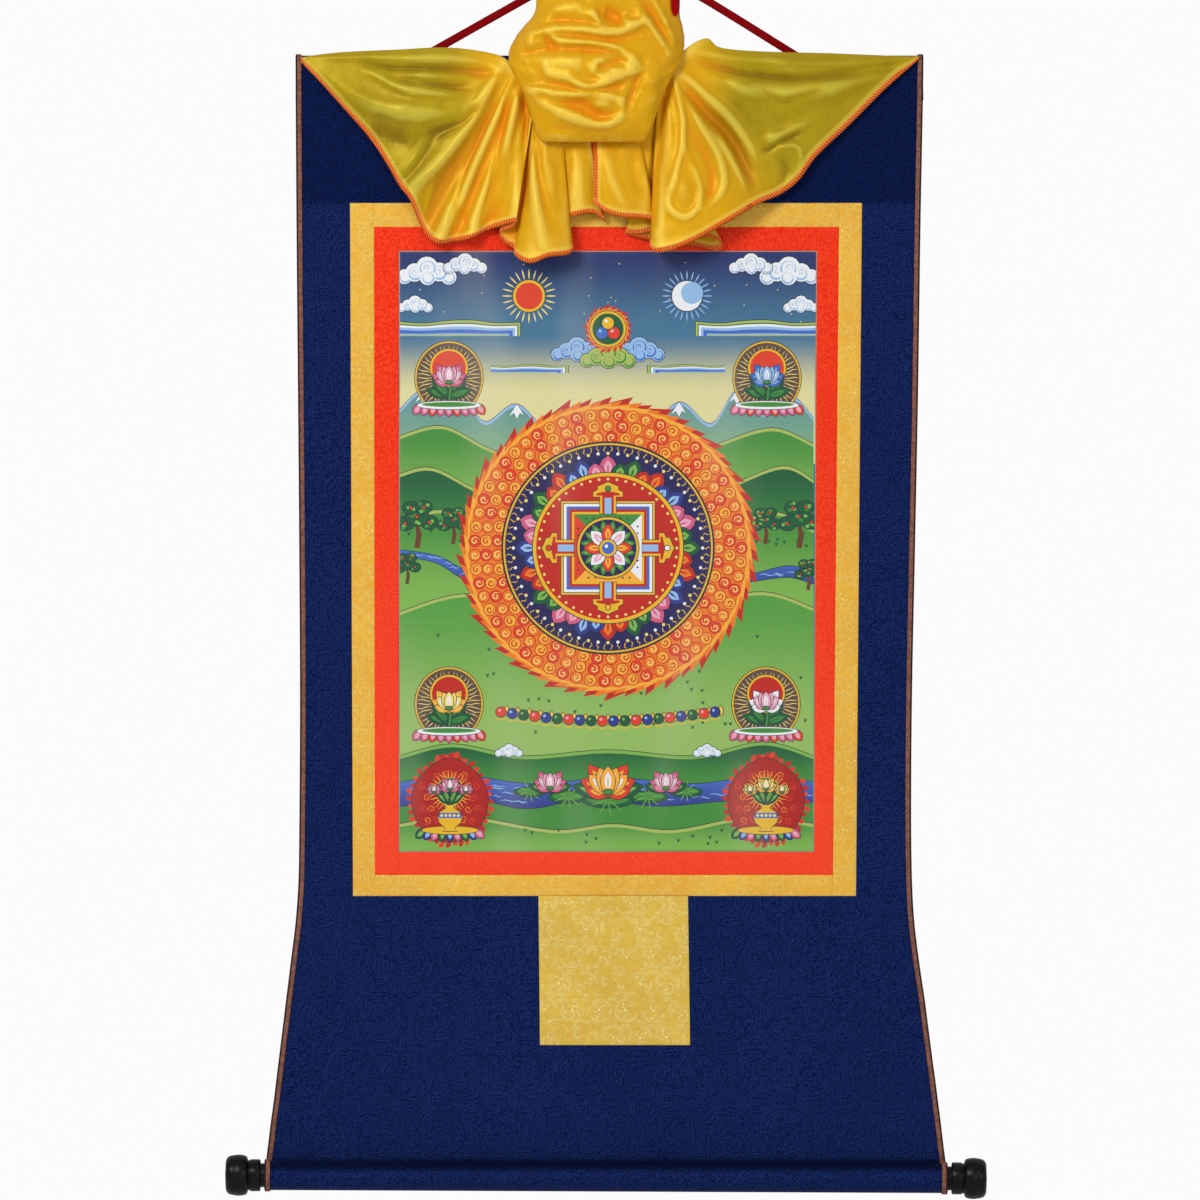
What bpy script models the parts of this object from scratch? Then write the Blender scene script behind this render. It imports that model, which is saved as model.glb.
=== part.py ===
"""Thangka scroll painting: pieced silk hanging on a top stave and a bottom roller, with a lifted veil.

Frame: the origin is the hanging point under the nail, +X to the viewer's right, the front faces -Y
and +Z is up. Sizes below are millimetres. A drop is measured down from the hanging point, and a
depth is measured forward from the middle of the hanging cloth.
"""

import math
from collections import namedtuple

import bpy
import bmesh
from mathutils import Vector

MM = 0.001

# ---- driving sizes, mm ----------------------------------------------------------------------
CLOTH = 1.5                # thickness of the pieced silk ground
GAP = 0.3                  # clearance between neighbouring pieces
SEAM_CLEAR = 5.0           # least height between a seam and the next row of an edge
BODY_Y = -12.05            # middle of the hanging cloth, in front of the hanging ribbon

STAVE_HEIGHT = 24.0
STAVE_THICK = 6.0
STAVE_ROUND = 2.8          # rounding of the stave's long edges
SLEEVE_RADIUS = 5.25       # middle of the cloth turned over the stave
SLEEVE_TOP = 111.0         # drop of the cloth's upper fold
SLEEVE_SEAM = 12.0         # height of the sloping part that meets the ground again
SLEEVE_STEPS = 8
TAPE_START = SLEEVE_STEPS + 2   # the tape starts where the cloth turns down behind the stave
SLEEVE_SPARE = 2.0         # straight cloth below the stave
SEAM_ALLOWANCE = 4.0

ROLLER_DROP = 1232.0       # middle of the roller, at x = 0
ROLLER_RADIUS = 12.0       # bare wood
ROLLER_CLOTH_RADIUS = 14.25
ROLLER_FALL = 0.0045       # the roller hangs lower on its right, mm per mm
ROLLER_END = 4.0           # bare wood between the cloth's edge and the knob's neck
CLOTH_TURN = 316.0         # wrap of the cloth round the roller, degrees from its back
TURN_STEPS = 20

BINDING_WALL = 0.9         # folded tape along both sides
BINDING_LIP = 4.6          # how far the tape reaches over the ground

DOOR_THICK = 1.0
KNOB_STEPS = 32
RIBBON_WIDTH = 8.0
RIBBON_THICK = 1.0
RIBBON_TWIST_LENGTH = 70.0
VEIL_THICK = 1.2
TIE_THICK = 0.8

# The ground's outer edges: the cloth narrows slightly, then flares to the roller.
Edge = namedtuple("Edge", "drop left right")
EDGES = [
    Edge(111, -317.5, 310.5),
    Edge(283, -316.5, 307.5),
    Edge(456, -315.0, 305.0),
    Edge(606, -313.8, 302.0),
    Edge(756, -313.0, 299.0),
    Edge(876, -313.6, 298.2),
    Edge(936, -314.5, 299.0),
    Edge(976, -317.2, 301.2),
    Edge(1016, -322.0, 306.0),
    Edge(1056, -327.0, 312.0),
    Edge(1106, -333.0, 318.4),
    Edge(1156, -339.0, 325.0),
    Edge(1196, -344.2, 330.0),
    Edge(1232, -348.0, 334.0),
]

# Nested frames round the picture: corners of each outline, slightly out of true as sewn.
Frame = namedtuple("Frame", "top bottom left_top left_bottom right_top right_bottom")
GOLD_OUTER = Frame(259, 952, -263, -260, 249, 243)
RED_OUTER = Frame(283, 931, -239, -238, 226, 220)
PICTURE = Frame(307, 908, -214, -214, 204, 201)
DOOR = Frame(953, 1101, -74.5, -73, 75, 77)

# Turned knob: distance from the inner face along the roller, and radius.
Turn = namedtuple("Turn", "along radius")
KNOB_PROFILE = [
    Turn(0.0, 15.2), Turn(0.6, 16.0), Turn(10.0, 16.0), Turn(11.2, 15.2), Turn(12.2, 15.4),
    Turn(13.4, 18.2), Turn(15.6, 19.6), Turn(18.4, 20.4), Turn(22.0, 20.6), Turn(27.0, 20.2),
    Turn(31.0, 19.0), Turn(33.6, 17.0), Turn(34.6, 14.4), Turn(34.2, 9.0), Turn(34.8, 7.6),
    Turn(35.2, 4.0),
]
KNOB_BORE = 7.0
KNOB_BORE_DEPTH = 20.0
TENON_RADIUS = 6.7
TENON_LENGTH = 19.0

# Hanging ribbon: it runs from the back of the top sleeve over the nail and back.
RibbonPoint = namedtuple("RibbonPoint", "x drop")
RIBBON_ROUTE = [
    RibbonPoint(-231, 135), RibbonPoint(-209, 122.6), RibbonPoint(-169, 100), RibbonPoint(-98, 60),
    RibbonPoint(-40, 27.3), RibbonPoint(-14, 12.6), RibbonPoint(-5, 8.0), RibbonPoint(4, 6.3),
    RibbonPoint(13, 8.4), RibbonPoint(22, 13.4), RibbonPoint(48, 29.4), RibbonPoint(101, 60),
    RibbonPoint(172, 104), RibbonPoint(197, 119.5), RibbonPoint(222, 135),
]
RIBBON_STEP = 18.0
RIBBON_CREST_STEPS = (-9.0, -4.5, 4.5, 9.0)   # closer places where it bends over the nail
RIBBON_SAMPLES = 20

# The veil's upper line: sewn to the top sleeve along both wings, gathered under the bundle.
Top = namedtuple("Top", "x drop depth")
TOP_LINE = [
    Top(-311, 114, 3.6), Top(-273, 109, 6), Top(-213, 106, 7), Top(-173, 104, 8),
    Top(-143, 106, 8), Top(-118, 111, 8), Top(-106, 117, 11), Top(-100, 126, 13),
    Top(-92, 138, 14), Top(-84, 149, 14), Top(-76, 163, 13), Top(-64, 176, 11),
    Top(-45, 184, 10), Top(-20, 187, 10), Top(7, 185, 10), Top(28, 175, 11),
    Top(40, 160, 13), Top(47, 144, 14), Top(51, 132, 15), Top(57, 122, 16),
    Top(76, 103, 12), Top(94, 95, 9), Top(107, 104, 8), Top(147, 108, 7),
    Top(217, 110, 6), Top(287, 113, 5), Top(305, 113, 3.6),
]
GATHER_LEFT = 7            # rows of the table above where the bundle's sides start
GATHER_MIDDLE = 13
GATHER_RIGHT = 19

# The veil's hem, left to right: folds step back in x where a pleat doubles under itself.
# top is the place on the upper line that each row hangs from.
Hem = namedtuple("Hem", "x drop depth top")
HEM_LEFT = [
    Hem(-312, 118, 3.8, 0.0), Hem(-291, 140, 5, 0.7), Hem(-266, 168, 6, 1.4), Hem(-241, 197, 8, 2.4),
    Hem(-225, 222, 9, 3.6), Hem(-213, 243, 10, 5.0), Hem(-203, 256, 16, 6.0), Hem(-194, 278, 7, 6.7),
    Hem(-186, 292, 8, 7.0), Hem(-175, 300, 18, 7.3), Hem(-160, 298, 9, 7.8), Hem(-143, 295, 19, 8.3),
    Hem(-127, 287, 10, 8.8), Hem(-111, 282, 17, 9.2), Hem(-97, 279, 25, 9.6),
    Hem(-102, 285, 19, 9.8), Hem(-113, 289, 11, 9.95), Hem(-109, 299, 8, 10.1),
    Hem(-99, 305, 11, 10.25), Hem(-97, 313, 20, 10.4), Hem(-83, 320, 29, 10.7),
    Hem(-64, 314, 31, 11.1), Hem(-44, 311, 25, 11.5), Hem(-41, 303, 16, 11.7),
    Hem(-54, 296, 10, 11.85), Hem(-59, 287, 8, 12.0), Hem(-53, 277, 11, 12.2),
    Hem(-37, 272, 16, 12.5), Hem(-20, 270, 14, 12.8), Hem(-8, 278, 11, 13.0),
]
HEM_RIGHT = [
    Hem(-19, 259, 22, 13.0), Hem(-7, 269, 23, 13.3), Hem(9, 274, 24, 13.7), Hem(27, 275, 22, 14.1),
    Hem(43, 278, 18, 14.5), Hem(45, 285, 12, 14.75), Hem(27, 290, 8, 15.0), Hem(13, 290, 6, 15.15),
    Hem(42, 297, 5, 15.35), Hem(85, 303, 5, 15.6), Hem(105, 306, 6.5, 15.75),
    Hem(109, 299, 10, 15.9), Hem(95, 294, 13, 16.05), Hem(60, 294, 15, 16.25),
    Hem(39, 298, 19, 16.45), Hem(39, 307, 25, 16.6), Hem(49, 309, 31, 16.85),
    Hem(77, 300, 35, 17.4), Hem(118, 277, 28, 18.3), Hem(146, 260, 20, 19.0),
    Hem(168, 250, 12, 19.6), Hem(186, 236, 12, 20.4), Hem(203, 213, 10, 21.4),
    Hem(237, 180, 8, 22.6), Hem(272, 145, 6, 24.0), Hem(304, 117, 3.8, 26.0),
]

# The bundle over the hanging point, from its under-fold up the front and down behind.
# wrap turns the sides in behind, flat squares the lower edge.
Level = namedtuple(
    "Level", "left_x left_drop right_x right_drop middle_drop side_depth middle_depth wrap flat")
BUNDLE = [
    Level(-101, 127, 60, 127, 196, 14, 20, 0.00, 1.0),
    Level(-102, 125, 62, 125, 199, 15, 28, 0.00, 1.0),
    Level(-103, 122, 64, 122, 194, 15, 35, 0.00, 1.0),
    Level(-104, 119, 66, 119, 188, 15, 39, 0.00, 0.9),
    Level(-104, 117, 67, 117, 181, 15, 42, 0.01, 0.6),
    Level(-104, 114, 68, 114, 167, 15, 44, 0.01, 0.4),
    Level(-104, 112, 69, 112, 155, 15, 45, 0.02, 0.2),
    Level(-104, 110, 70, 110, 149, 15, 46, 0.02, 0.0),
    Level(-103, 106, 70, 107, 141, 15, 46, 0.03, 0.0),
    Level(-101, 101, 71, 103, 124, 15, 46, 0.04, 0.0),
    Level(-98, 96, 71, 98, 106, 15, 45, 0.05, 0.0),
    Level(-96, 92, 71, 93, 98, 15, 44, 0.06, 0.0),
    Level(-92, 87, 70, 88, 89, 15, 42, 0.07, 0.0),
    Level(-87, 81, 69, 82, 79, 15, 40, 0.09, 0.0),
    Level(-81, 75, 67, 76, 68, 15, 38, 0.10, 0.0),
    Level(-77, 66, 66, 66, 57, 15, 37, 0.11, 0.0),
    Level(-76, 52, 65, 52, 44, 15, 36, 0.12, 0.0),
    Level(-73, 35, 61, 35, 28, 15, 35, 0.12, 0.0),
    Level(-65, 20, 53, 20, 12, 15, 33, 0.12, 0.0),
    Level(-52, 8, 41, 8, 0, 15, 28, 0.11, 0.0),
    Level(-38, 2, 29, 2, -7, 13, 21, 0.08, 0.0),
    Level(-34, 3, 26, 3, -3, 9, 12, 0.04, 0.0),
    Level(-36, 16, 28, 16, 14, 6, 6.5, 0.00, 0.0),
    Level(-40, 38, 32, 38, 38, 5, 5.5, 0.00, 0.0),
]
BUNDLE_CREST = 20.0        # row of the table at the top of the bundle
FOLD_LEVELS = 1.5          # rows over which folds fade near the bundle's ends
TURNED_BACK = 4.0          # how much flatter the sides are behind than in front
FLAT_SHOULDER = 0.4        # share of the half width over which a squared level drops

# Main folds of the veil: height forward (negative is a hollow), width, and the places (x, drop)
# that each one runs through.
Fold = namedtuple("Fold", "height width path")
Place = namedtuple("Place", "x drop")
WING_FOLDS = [
    Fold(-5, 6, ((-246, 120), (-185, 125), (-116, 131))),
    Fold(6, 11, ((-289, 133), (-266, 150), (-237, 163), (-202, 170), (-168, 169), (-137, 159))),
    Fold(-7, 13, ((-245, 182), (-222, 193), (-203, 200))),
    Fold(6, 7, ((-115, 127), (-132, 165), (-151, 194), (-173, 220), (-192, 236), (-203, 243))),
    Fold(-5.5, 7, ((88, 120), (136, 131), (183, 135), (230, 131), (277, 122))),
    Fold(5, 10, ((110, 140), (150, 150), (200, 150), (262, 131))),
    Fold(-9, 8, ((76, 150), (96, 172), (111, 186), (126, 209), (138, 240))),
    Fold(-4, 6, ((149, 209), (168, 199), (188, 188))),
    Fold(4, 8, ((72, 205), (86, 242), (74, 274), (55, 256), (62, 235))),
]
BUNDLE_FOLDS = [
    Fold(5, 8, ((-74, 79), (-53, 67), (-35, 69), (-20, 77))),
    Fold(-7, 7, ((-9, 72), (2, 74), (11, 77))),
    Fold(4.5, 6, ((40, 57), (54, 84), (64, 112))),
    Fold(5.5, 6, ((-96, 108), (-92, 97), (-67, 87), (-26, 88), (12, 88), (30, 80))),
    Fold(-6, 6, ((-93, 111), (-75, 108), (-58, 106), (-26, 106), (11, 113))),
    Fold(5.5, 6, ((-67, 120), (-58, 134), (-38, 141), (-10, 142), (14, 131), (25, 127))),
    Fold(-7, 7, ((-52, 157), (-32, 163), (-18, 172), (-2, 174))),
    Fold(5, 6, ((-80, 152), (-53, 169), (-20, 181), (5, 177), (10, 162))),
    Fold(-4, 6, ((30, 117), (26, 134), (19, 152), (12, 170))),
]

WING_ROWS = 12             # rows of the veil's mesh from its upper line to its hem
COLUMN_STEP = 15.0         # widest spacing of its columns at the hem
PLEAT_GROWTH = 0.7         # how quickly the pleats open below the gathers
WING_BELLY = 9.0           # forward swell of the open wings
WING_FADE = 4.0            # rows of the upper line over which that swell ends at the gathers
FULL_RIB = 120.0           # length of a rib that swells fully
FOLD_SAMPLES = 4           # steps between two places of a fold
FOLD_END = 0.04            # share of a fold's length at which its end height is taken
FOLD_REACH = 2.4           # widths to either side within which a fold is felt
FOLD_MARGIN = 0.1          # share of a rib over which folds fade near its ends
FOLD_AT_HEM = 0.4          # share of a fold that still reaches the hem
VEIL_CLEARANCE = CLOTH / 2 + VEIL_THICK / 2 + 2.0
SEWN_DROP = 117.0          # seam of the wings on the sleeve, behind their soft roll
SEWN_DEPTH = CLOTH / 2 + GAP + VEIL_THICK / 2
SEWN_REACH = (-307.0, 300.0)

# Red tie at the bundle's right shoulder: place across and up the bundle, half width.
Tie = namedtuple("Tie", "across level half_width")
TIE_ROUTE = [
    Tie(0.80, 13.9, 1.2), Tie(0.81, 14.5, 4.4), Tie(0.815, 15.3, 5.4), Tie(0.81, 16.2, 5.4),
    Tie(0.80, 17.2, 5.2), Tie(0.77, 18.4, 4.8), Tie(0.72, 19.6, 4.2),
]
TIE_LIFT = 2.6             # its distance from the bundle
TIE_PROBE = 0.01           # step used to find the bundle's slope
BUNDLE_GIRTH = 135.0       # length across the bundle's front at its right shoulder


# ---- small helpers --------------------------------------------------------------------------
def world(x, drop, depth):
    """A place given by millimetres across, down and forward, as metres in the part's frame."""
    return Vector((x * MM, (BODY_Y - depth) * MM, -drop * MM))


def sample(rows, place):
    """Smooth value of a table at a place counted in rows, through every row."""
    last = len(rows) - 1
    place = min(max(place, 0.0), float(last))
    index = min(int(place), last - 1)
    t = place - index
    before, start = rows[max(index - 1, 0)], rows[index]
    end, after = rows[index + 1], rows[min(index + 2, last)]
    result = []
    for a, b, c, d in zip(before, start, end, after):
        result.append(0.5 * (2 * b + (c - a) * t + (2 * a - 5 * b + 4 * c - d) * t ** 2
                             + (3 * b - a - 3 * c + d) * t ** 3))
    return type(start)(*result)


def edge_at(drop):
    """Left and right outer edges of the ground at a drop."""
    for index in range(len(EDGES) - 1):
        if drop <= EDGES[index + 1].drop:
            break
    span = EDGES[index + 1].drop - EDGES[index].drop
    place = index + max(0.0, drop - EDGES[index].drop) / span
    row = sample(EDGES, min(place, len(EDGES) - 1))
    return row.left, row.right


def make_material(name, color, roughness, metallic=0.0):
    material = bpy.data.materials.new(name)
    material.use_nodes = True
    shader = material.node_tree.nodes["Principled BSDF"]
    shader.inputs["Base Color"].default_value = (*color, 1.0)
    shader.inputs["Roughness"].default_value = roughness
    shader.inputs["Metallic"].default_value = metallic
    material.diffuse_color = (*color, 1.0)
    return material


def add_object(name, mesh, material, collection, smooth=False):
    item = bpy.data.objects.new(name, mesh)
    mesh.materials.append(material)
    if smooth:
        mesh.shade_smooth()
    collection.objects.link(item)
    return item


def sheet_mesh(name, rows):
    """Open grid surface from rows of points."""
    mesh = bpy.data.meshes.new(name)
    bm = bmesh.new()
    verts = [[bm.verts.new(point) for point in row] for row in rows]
    for upper, lower in zip(verts, verts[1:]):
        for i in range(len(upper) - 1):
            bm.faces.new((upper[i], lower[i], lower[i + 1], upper[i + 1]))
    bm.to_mesh(mesh)
    bm.free()
    return mesh


def thicken(item, thickness):
    solid = item.modifiers.new("Cloth", "SOLIDIFY")
    solid.thickness = thickness * MM
    solid.offset = 0.0
    solid.use_even_offset = False
    return solid


def add_sheet(name, rows, thickness, material, collection, smooth=False):
    item = add_object(name, sheet_mesh(name, rows), material, collection, smooth)
    thicken(item, thickness)
    return item


# ---- pieced ground --------------------------------------------------------------------------
def frame_strip(name, corners, material, collection, depth=0.0, thickness=CLOTH):
    """Flat piece between four corners (top left, top right, bottom right, bottom left)."""
    half = GAP / 2
    inset = ((half, half), (-half, half), (-half, -half), (half, -half))
    points = [world(x + dx, drop + dz, depth) for (x, drop), (dx, dz) in zip(corners, inset)]
    rows = [[points[0], points[1]], [points[3], points[2]]]
    return add_sheet(name, rows, thickness, material, collection)


def frame_side(frame, drop, side):
    """x of a frame's left or right edge at a drop."""
    t = (drop - frame.top) / (frame.bottom - frame.top)
    if side == "left":
        return frame.left_top + (frame.left_bottom - frame.left_top) * t
    return frame.right_top + (frame.right_bottom - frame.right_top) * t


def build_frame(prefix, outer, inner, material, collection):
    """Four strips: the upright ones run the whole height, the others fit between them."""
    for side in ("left", "right"):
        outer_top, outer_bottom = (frame_side(outer, d, side) for d in (outer.top, outer.bottom))
        inner_top, inner_bottom = (frame_side(inner, d, side) for d in (outer.top, outer.bottom))
        corners = [(outer_top, outer.top), (inner_top, outer.top),
                   (inner_bottom, outer.bottom), (outer_bottom, outer.bottom)]
        if side == "right":
            corners = [corners[1], corners[0], corners[3], corners[2]]
        frame_strip(f"{prefix}_{side}", corners, material, collection)
    for level, upper, lower in (("top", outer.top, inner.top), ("bottom", inner.bottom, outer.bottom)):
        corners = [(frame_side(inner, upper, "left"), upper), (frame_side(inner, upper, "right"), upper),
                   (frame_side(inner, lower, "right"), lower), (frame_side(inner, lower, "left"), lower)]
        frame_strip(f"{prefix}_{level}", corners, material, collection)


def cloth_edge(drop, side):
    """Edge of the ground itself, inside the folded tape."""
    left, right = edge_at(drop)
    inset = BINDING_WALL + GAP
    return left + inset if side == "left" else right - inset


def side_drops():
    """Edge rows between the two seams."""
    upper, lower = GOLD_OUTER.top + SEAM_CLEAR, GOLD_OUTER.bottom - SEAM_CLEAR
    return [row.drop for row in EDGES if upper < row.drop < lower]


def build_side_panel(side, material, collection):
    rows = []
    for drop in [GOLD_OUTER.top + GAP / 2, *side_drops(), GOLD_OUTER.bottom - GAP / 2]:
        outer = cloth_edge(drop, side)
        shift = -GAP / 2 if side == "left" else GAP / 2
        inner = frame_side(GOLD_OUTER, drop, side) + shift
        pair = (outer, inner) if side == "left" else (inner, outer)
        rows.append([world(x, drop, 0) for x in pair])
    add_sheet(f"ground_{side}", rows, CLOTH, material, collection)


def top_path():
    """Drop and depth of the ground from its seam up, over the stave and down behind it."""
    middle = SLEEVE_TOP + CLOTH / 2 + SLEEVE_RADIUS
    path = [(GOLD_OUTER.top - GAP / 2, 0.0), (middle, 0.0)]
    for i in range(1, SLEEVE_STEPS + 1):
        angle = math.pi * i / SLEEVE_STEPS
        path.append((middle - SLEEVE_RADIUS * math.sin(angle), -SLEEVE_RADIUS * (1 - math.cos(angle))))
    flat_end = middle + STAVE_HEIGHT + SLEEVE_SPARE - STAVE_ROUND
    path.append((flat_end, -2 * SLEEVE_RADIUS))
    seam_depth = -(CLOTH + BINDING_WALL + 2 * GAP)
    path.append((flat_end + SLEEVE_SEAM, seam_depth))
    path.append((flat_end + SLEEVE_SEAM + SEAM_ALLOWANCE, seam_depth))
    return path


def bottom_path():
    """Drop and depth of the ground from its seam down and once round the roller."""
    upper, lower = GOLD_OUTER.bottom + SEAM_CLEAR, ROLLER_DROP - SEAM_CLEAR
    drops = [GOLD_OUTER.bottom + GAP / 2, *(row.drop for row in EDGES if upper < row.drop < lower)]
    path = [(drop, 0.0) for drop in drops]
    for i in range(TURN_STEPS + 1):
        angle = math.radians(CLOTH_TURN * i / TURN_STEPS)
        path.append((ROLLER_DROP + ROLLER_CLOTH_RADIUS * math.sin(angle),
                     ROLLER_CLOTH_RADIUS * (1 - math.cos(angle))))
    return path


def fallen(x, drop):
    """Drop after the slight fall of the roller to the right, growing over the bottom panel."""
    share = max(0.0, min(1.0, (drop - GOLD_OUTER.bottom) / (ROLLER_DROP - GOLD_OUTER.bottom)))
    return drop + x * ROLLER_FALL * share


def turned_edge(drop, depth, side):
    """Edge of the ground on its path: round the roller and over the stave it keeps one width."""
    if depth > 0:
        drop = ROLLER_DROP
    elif depth < 0:
        drop = SLEEVE_TOP
    return cloth_edge(drop, side)


def build_path_panel(name, path, material, collection):
    rows = []
    for drop, depth in path:
        pair = [turned_edge(drop, depth, side) for side in ("left", "right")]
        rows.append([world(x, fallen(x, drop), depth) for x in pair])
    item = add_sheet(name, rows, CLOTH, material, collection)
    item.modifiers["Cloth"].use_even_offset = True


def binding_section(point, normal, side):
    """Folded tape round the cloth's edge at one place: a U that opens inwards."""
    inwards = Vector((1, 0, 0)) if side == "left" else Vector((-1, 0, 0))
    inner = (CLOTH / 2 + GAP) * MM
    outer = inner + BINDING_WALL * MM
    lip = BINDING_LIP * MM
    edge = -GAP * MM
    back = -(GAP + BINDING_WALL) * MM
    shape = ((lip, outer), (back, outer), (back, -outer), (lip, -outer),
             (lip, -inner), (edge, -inner), (edge, inner), (lip, inner))
    return [point + inwards * reach + normal * out for reach, out in shape]


def binding_path():
    """Drop and depth along a whole side: down from behind the stave and round the roller."""
    upper = top_path()[:TAPE_START]
    sides = [(drop, 0.0) for drop in side_drops()]
    return upper[::-1] + sides + bottom_path()


def bend_normals(stations):
    """Normals in the plane square to X, lengthened at each bend so that walls keep their width."""
    across = Vector((1, 0, 0))
    normals = []
    for index, point in enumerate(stations):
        ahead = (stations[min(index + 1, len(stations) - 1)] - point) * Vector((0, 1, 1))
        behind = (point - stations[max(index - 1, 0)]) * Vector((0, 1, 1))
        one = (behind if behind.length else ahead).normalized()
        two = (ahead if ahead.length else behind).normalized()
        along = (one + two).normalized()
        normals.append(across.cross(along) / along.dot(two))
    return normals


def build_binding(side, material, collection):
    """One folded tape along a whole side, over the sleeve and round the roller."""
    path = binding_path()
    stations = []
    for drop, depth in path:
        x = turned_edge(drop, depth, side)
        stations.append(world(x, fallen(x, drop), depth))
    bm = bmesh.new()
    sections = []
    for point, normal in zip(stations, bend_normals(stations)):
        sections.append([bm.verts.new(p) for p in binding_section(point, normal, side)])
    for one, two in zip(sections, sections[1:]):
        for i in range(len(one)):
            j = (i + 1) % len(one)
            bm.faces.new((one[i], one[j], two[j], two[i]))
    for a in (sections[0], sections[-1]):
        bm.faces.new((a[0], a[1], a[6], a[7]))
        bm.faces.new((a[1], a[2], a[5], a[6]))
        bm.faces.new((a[2], a[3], a[4], a[5]))
    bmesh.ops.recalc_face_normals(bm, faces=bm.faces)
    mesh = bpy.data.meshes.new(f"binding_{side}")
    bm.to_mesh(mesh)
    bm.free()
    add_object(f"binding_{side}", mesh, material, collection)


# ---- stave, roller, knobs -------------------------------------------------------------------
def build_stave(material, collection):
    left, right = edge_at(SLEEVE_TOP)
    bpy.ops.mesh.primitive_cube_add(size=1)
    stave = bpy.context.object
    stave.name = "top_stave"
    stave.data.name = "top_stave"
    top = SLEEVE_TOP + CLOTH + BINDING_WALL + 2 * GAP
    stave.dimensions = ((right - left) * MM, STAVE_THICK * MM, STAVE_HEIGHT * MM)
    stave.location = world((left + right) / 2, top + STAVE_HEIGHT / 2, -SLEEVE_RADIUS)
    bpy.ops.object.transform_apply(location=False, rotation=False, scale=True)
    bevel = stave.modifiers.new("Rounded edges", "BEVEL")
    bevel.width = STAVE_ROUND * MM
    bevel.segments = 3
    move_to(stave, material, collection)


def move_to(item, material, collection):
    for owner in list(item.users_collection):
        owner.objects.unlink(item)
    collection.objects.link(item)
    item.data.materials.clear()
    item.data.materials.append(material)


def roller_ends():
    left, right = edge_at(ROLLER_DROP)
    return left - ROLLER_END + GAP, right + ROLLER_END - GAP


def screw_object(name, profile, material, collection):
    """Turned piece: the profile runs top to bottom down its outer side, about the local Z axis."""
    mesh = bpy.data.meshes.new(name)
    bm = bmesh.new()
    verts = [bm.verts.new((radius * MM, 0, height * MM)) for height, radius in profile]
    for one, two in zip(verts, verts[1:]):
        bm.edges.new((one, two))
    bm.to_mesh(mesh)
    bm.free()
    item = add_object(name, mesh, material, collection)
    screw = item.modifiers.new("Turned", "SCREW")
    screw.axis = "Z"
    screw.steps = KNOB_STEPS
    screw.render_steps = KNOB_STEPS
    screw.use_merge_vertices = True
    screw.merge_threshold = 0.00001
    screw.use_smooth_shade = True
    return item


def build_roller(material, collection):
    left, right = roller_ends()
    half = (right - left) / 2
    profile = [
        (half + TENON_LENGTH, 0), (half + TENON_LENGTH, TENON_RADIUS), (half, TENON_RADIUS),
        (half, ROLLER_RADIUS), (-half, ROLLER_RADIUS), (-half, TENON_RADIUS),
        (-half - TENON_LENGTH, TENON_RADIUS), (-half - TENON_LENGTH, 0),
    ]
    item = screw_object("bottom_roller", profile, material, collection)
    place_on_roller(item, (left + right) / 2, 1)


def place_on_roller(item, x, direction):
    tilt = math.atan(ROLLER_FALL)
    item.rotation_euler = (0, direction * math.pi / 2 + tilt, 0)
    item.location = world(x, fallen(x, ROLLER_DROP), ROLLER_CLOTH_RADIUS)


def build_knob(side, material, collection):
    left, right = roller_ends()
    last = KNOB_PROFILE[-1].along
    profile = [(last, 0)]
    profile += [(turn.along, turn.radius) for turn in reversed(KNOB_PROFILE)]
    profile += [(0, KNOB_BORE), (KNOB_BORE_DEPTH, KNOB_BORE), (KNOB_BORE_DEPTH, 0)]
    item = screw_object(f"knob_{side}", profile, material, collection)
    if side == "left":
        place_on_roller(item, left - GAP, -1)
    else:
        place_on_roller(item, right + GAP, 1)


# ---- hanging ribbon -------------------------------------------------------------------------
def ribbon_points():
    """Evenly spaced places along the route, with the distance from the top of the loop."""
    count = RIBBON_SAMPLES * (len(RIBBON_ROUTE) - 1)
    fine = [sample(RIBBON_ROUTE, i / RIBBON_SAMPLES) for i in range(count + 1)]
    lengths = [0.0]
    for one, two in zip(fine, fine[1:]):
        lengths.append(lengths[-1] + math.hypot(two.x - one.x, two.drop - one.drop))
    crest = lengths[min(range(len(fine)), key=lambda i: fine[i].drop)]
    steps = round(lengths[-1] / RIBBON_STEP)
    wanted = [lengths[-1] * i / steps for i in range(steps + 1)]
    wanted += [crest + step for step in RIBBON_CREST_STEPS]
    result = []
    for goal in sorted(wanted):
        index = min(range(len(fine)), key=lambda i: abs(lengths[i] - goal))
        result.append((fine[index], goal - crest))
    return result


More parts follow.
